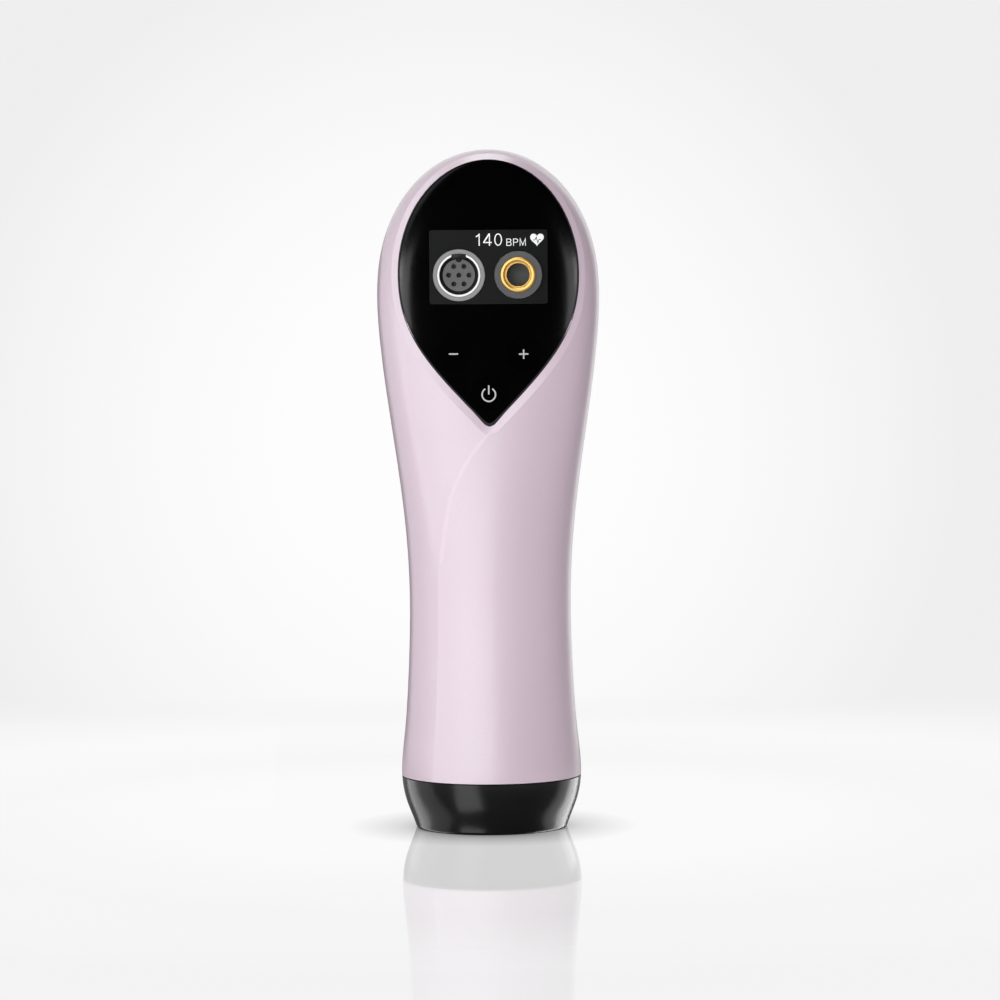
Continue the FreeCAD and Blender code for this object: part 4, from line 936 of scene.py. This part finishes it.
# Dark cross on the head of each case screw, at the back: a black plate, painted shade standing in for
# its cross recess.
def addScrewCrosses(settings):
    cross = crossOutline(settings["length"], settings["width"])
    for number in range(1, settings["count"] + 1):
        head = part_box("case_screw_%d" % number)[1][1]
        centre = centreOf("case_screw_%d" % number)
        # Painted shade: a black cross plate in place of the recess.
        addPlate("screw_cross_%d" % number, cross, centre, head - settings["depth"],
                 settings["depth"] + settings["stand"])


addScrewCrosses(screwSettings)
print("screws cut")

studioSettings = {
    "fill": 0.22,                        # even light from all round
    "backdrop": (0.985, 0.985, 0.985),   # behind the object
    "backdropEdge": (0.86, 0.86, 0.865),
    "mirrored": 0.97,                    # the room in mirrors
    "glowTowards": (0.0, 0.998, -0.063),
    "glowReach": (0.994, 0.9997),        # cosines between which the backdrop grows lighter
    "floorRadius": 0.37,
    "floorFade": (0.30, 0.36),           # where the floor melts into the backdrop
    "floorBack": (0.20, 0.26),           # and where it does so behind the object
    "floorMiddle": (1.12, 1.12, 1.12),
    "floorEdge": (0.95, 0.95, 0.955),
    "floorCentre": (0.0, 0.03, 0.0),
    "floorReach": (0.07, 0.23),          # distances from it between which the floor grows darker
    "floorLit": 0.92,                    # share of the floor's white that is its own
    "shadowReach": 0.016,                # how far the contact shadow spreads
    "floorGloss": 1.33,                  # refractive index of its polish
    "farPolish": 0.45,                   # share of the polish that is left away from the object
    "polishReach": (0.13, 0.19),         # distances between which it wears off
    "mirrorRoughness": 0.04,
}


# 1 for rays from the camera, in mirrors and through glass; else 0.
def lightPathShare(tree):
    rays = addNode(tree, "ShaderNodeLightPath").outputs
    seen = compute(tree, "MAXIMUM", rays["Is Camera Ray"], rays["Is Glossy Ray"])
    return compute(tree, "MAXIMUM", seen, rays["Is Transmission Ray"])


def makeWorld(settings):
    world = bpy.data.worlds.new("studio")
    scene.world = world
    world.use_nodes = True
    tree = world.node_tree
    fill = tree.nodes["Background"]
    fill.inputs["Color"].default_value = (1.0, 1.0, 1.0, 1.0)
    fill.inputs["Strength"].default_value = settings["fill"]
    place = addNode(tree, "ShaderNodeTexCoord").outputs["Generated"]
    along = compute(tree, "DOT_PRODUCT", place, settings["glowTowards"], "ShaderNodeVectorMath")
    glow = spread(tree, along, 0.0, 1.0, *settings["glowReach"])
    shade = mixColors(tree, glow, settings["backdropEdge"], settings["backdrop"])
    backdrop = addNode(tree, "ShaderNodeBackground", {"Color": shade})
    level = settings["mirrored"]
    mirrored = addNode(tree, "ShaderNodeBackground", {"Color": (level, level, level, 1.0)})
    fromCamera = addNode(tree, "ShaderNodeLightPath").outputs["Is Camera Ray"]
    room = mixShaders(tree, fromCamera, mirrored.outputs[0], backdrop.outputs[0])
    tree.links.new(mixShaders(tree, lightPathShare(tree), fill.outputs[0], room),
                   tree.nodes["World Output"].inputs["Surface"])


# Polished pale floor: its own white is painted, brightest round the object and darkened near it by a
# painted contact shadow, with a little real light and shadow besides; it mirrors faintly and melts into
# the backdrop.
def floorMaterial(settings):
    material, tree, surface = bareMaterial("floorPale")
    place = ownPlace(tree)
    fromOrigin = addNode(tree, "ShaderNodeVectorMath", {0: place}, operation="LENGTH").outputs["Value"]
    fromCentre = compute(tree, "DISTANCE", place, settings["floorCentre"], "ShaderNodeVectorMath")
    # Painted pool of light: the floor's own white is brightest round floorCentre.
    shade = mixColors(tree, spread(tree, fromCentre, 0.0, 1.0, *settings["floorReach"]),
                      settings["floorMiddle"], settings["floorEdge"])
    # Painted contact shadow: ambient occlusion darkens that white near the object.
    contact = addNode(tree, "ShaderNodeAmbientOcclusion",
                      {"Color": shade, "Distance": settings["shadowReach"]})
    matt = addNode(tree, "ShaderNodeBsdfDiffuse", {"Color": shade})
    lit = addNode(tree, "ShaderNodeEmission", {"Color": contact.outputs["Color"]})
    own = compute(tree, "MULTIPLY", lightPathShare(tree), settings["floorLit"])
    base = mixShaders(tree, own, matt.outputs[0], lit.outputs[0])
    mirror = addNode(tree, "ShaderNodeBsdfGlossy", {"Roughness": settings["mirrorRoughness"]})
    fresnel = addNode(tree, "ShaderNodeFresnel", {"IOR": settings["floorGloss"]})
    polish = spread(tree, fromOrigin, 1.0, settings["farPolish"], *settings["polishReach"])
    polished = mixShaders(tree, compute(tree, "MULTIPLY", fresnel.outputs["Fac"], polish), base,
                          mirror.outputs[0])
    depth = addNode(tree, "ShaderNodeSeparateXYZ", {"Vector": place})
    edge = compute(tree, "MAXIMUM", spread(tree, fromOrigin, 0.0, 1.0, *settings["floorFade"]),
                   spread(tree, depth.outputs["Y"], 0.0, 1.0, *settings["floorBack"]))
    clear = addNode(tree, "ShaderNodeBsdfTransparent")
    tree.links.new(mixShaders(tree, edge, polished, clear.outputs[0]), surface)
    return material


def makeFloor(settings, seenBy):
    form = bmesh.new()
    bmesh.ops.create_circle(form, cap_ends=True, segments=96, radius=settings["floorRadius"],
                            matrix=Matrix.Translation((0.0, 0.0, cadBounds[0].z)))
    floor = fromForm("floor", form, floorMaterial(settings))
    floor.light_linking.receiver_collection = seenBy
    return floor


# Pieces that a group of lamps lights.
pieceGroups = {
    "polished": ["face_lens", "display_window", "minus_key", "plus_key", "power_key"],
    "cap": ["probe_cap"],
}
pieceGroups["satin"] = [name for name in frame["nodes"]
                        if name not in pieceGroups["polished"] + pieceGroups["cap"]]
pieceGroups["whole"] = list(frame["nodes"])

# Each lamp: azimuth from the front towards +X and elevation in degrees, distance, width and height in
# metres, watts. The room's lamps give diffuse light alone, the others only reflections on their group.
lamps = {
    "room": {
        "key": (-13, 6, 1.0, 0.9, 0.6, 6.0),
        "right": (100, 50, 1.0, 0.8, 0.8, 0.9),
        "side": (-88, 10, 1.0, 0.8, 0.9, 1.3),
        "top": (180, 80, 0.9, 0.5, 0.5, 0.8),
        "back": (176, 20, 1.2, 0.8, 0.8, 5.0),
    },
    "satin": {
        "sheen": (-38, 14, 1.0, 1.75, 1.9, 20.0),
        "rim": (140, 8, 1.0, 0.55, 1.2, 1.4),
        "crown": (0, 86, 0.9, 0.6, 0.6, 4.3),
    },
    "polished": {
        "panelLeft": (-66, -10, 0.8, 0.6, 0.56, 4.6),
        "panelLeftRim": (-75, -10, 0.8, 0.45, 0.56, 3.4),
        "panelRight": (66, -10, 0.8, 0.6, 0.56, 3.6),
        "panelRightRim": (76, -10, 0.8, 0.45, 0.56, 3.6),
    },
    "cap": {
        "capLeft": (-124, -34, 0.8, 0.37, 0.85, 1.3),
        "capLeftWide": (-108, -34, 0.8, 0.89, 0.85, 1.5),
        "capRight": (131, -32, 0.8, 0.43, 0.85, 3.2),
        "capRightWide": (120, -32, 0.8, 0.75, 0.85, 2.0),
        "capFront": (-30, -26, 1.0, 0.5, 0.85, 2.0),
    },
}


def addLamp(name, place, group, collections):
    azimuth, elevation, distance, width, height, power = place
    data = bpy.data.lights.new(name, "AREA")
    data.shape = "RECTANGLE"
    data.size = width
    data.size_y = height
    data.energy = power
    lamp = bpy.data.objects.new(name, data)
    scene.collection.objects.link(lamp)
    lamp.visible_camera = False
    if group == "room":
        lamp.visible_glossy = False
    else:
        lamp.visible_diffuse = False
        lamp.light_linking.receiver_collection = collections[group]
        lamp.light_linking.blocker_collection = collections["whole"]
    out = towards(azimuth, elevation)
    lamp.location = Vector((0.0, 0.0, (cadBounds[0].z + cadBounds[1].z) / 2)) + out * distance
    lamp.rotation_mode = "QUATERNION"
    lamp.rotation_quaternion = out.to_track_quat("Z", "Y")


# A collection for each group; the pieces made here join the satin ones.
def collectPieces(groups):
    nodes = list(frame["nodes"].values())
    added = [item for item in scene.objects if item.type == "MESH" and item not in nodes]
    collections = {}
    for name, members in groups.items():
        collections[name] = bpy.data.collections.new(name + "Pieces")
        for member in members:
            collections[name].objects.link(frame["nodes"][member])
        if name in ("satin", "whole"):
            for item in added:
                collections[name].objects.link(item)
    return collections


# Cloths seen only in mirrors, black on the pieces and white on the floor; spans in degrees.
clothSettings = {
    "radius": 1.6,
    "level": 1.0,
    "spans": {
        "front": {"azimuths": (-66, 140), "elevations": (-40, 84)},
        "left": {"azimuths": (-176, -138), "elevations": (-40, 8)},
    },
}


def glowingCloth(level):
    material, tree, surface = bareMaterial("clothGlow")
    glow = addNode(tree, "ShaderNodeEmission", {"Color": (level, level, level, 1.0)})
    tree.links.new(glow.outputs[0], surface)
    return material


def addCloth(name, span, radius, material, seenBy, steps=16):
    turns, rises = span["azimuths"], span["elevations"]
    form = bmesh.new()
    grid = [[form.verts.new(towards(turns[0] + (turns[1] - turns[0]) * column / steps,
                                    rises[0] + (rises[1] - rises[0]) * row / steps) * radius)
             for column in range(steps + 1)] for row in range(steps + 1)]
    for row in range(steps):
        for column in range(steps):
            form.faces.new((grid[row][column], grid[row][column + 1],
                            grid[row + 1][column + 1], grid[row + 1][column]))
    cloth = fromForm(name, form, material)
    cloth.visible_camera = False
    cloth.visible_diffuse = False
    cloth.visible_shadow = False
    cloth.light_linking.receiver_collection = seenBy


pieceCollections = collectPieces(pieceGroups)
makeWorld(studioSettings)
floor = makeFloor(studioSettings, pieceCollections["polished"])
for groupName, group in lamps.items():
    for lampName, lampPlace in group.items():
        addLamp(lampName, lampPlace, groupName, pieceCollections)
floorOnly = bpy.data.collections.new("floorOnly")
floorOnly.objects.link(floor)
clothMaterial = glowingCloth(clothSettings["level"])
for clothName, clothSpan in clothSettings["spans"].items():
    addCloth(clothName + "Cloth", clothSpan, clothSettings["radius"], clothMaterial, floorOnly)
scene.view_settings.view_transform = "Standard"
print("studio lit")
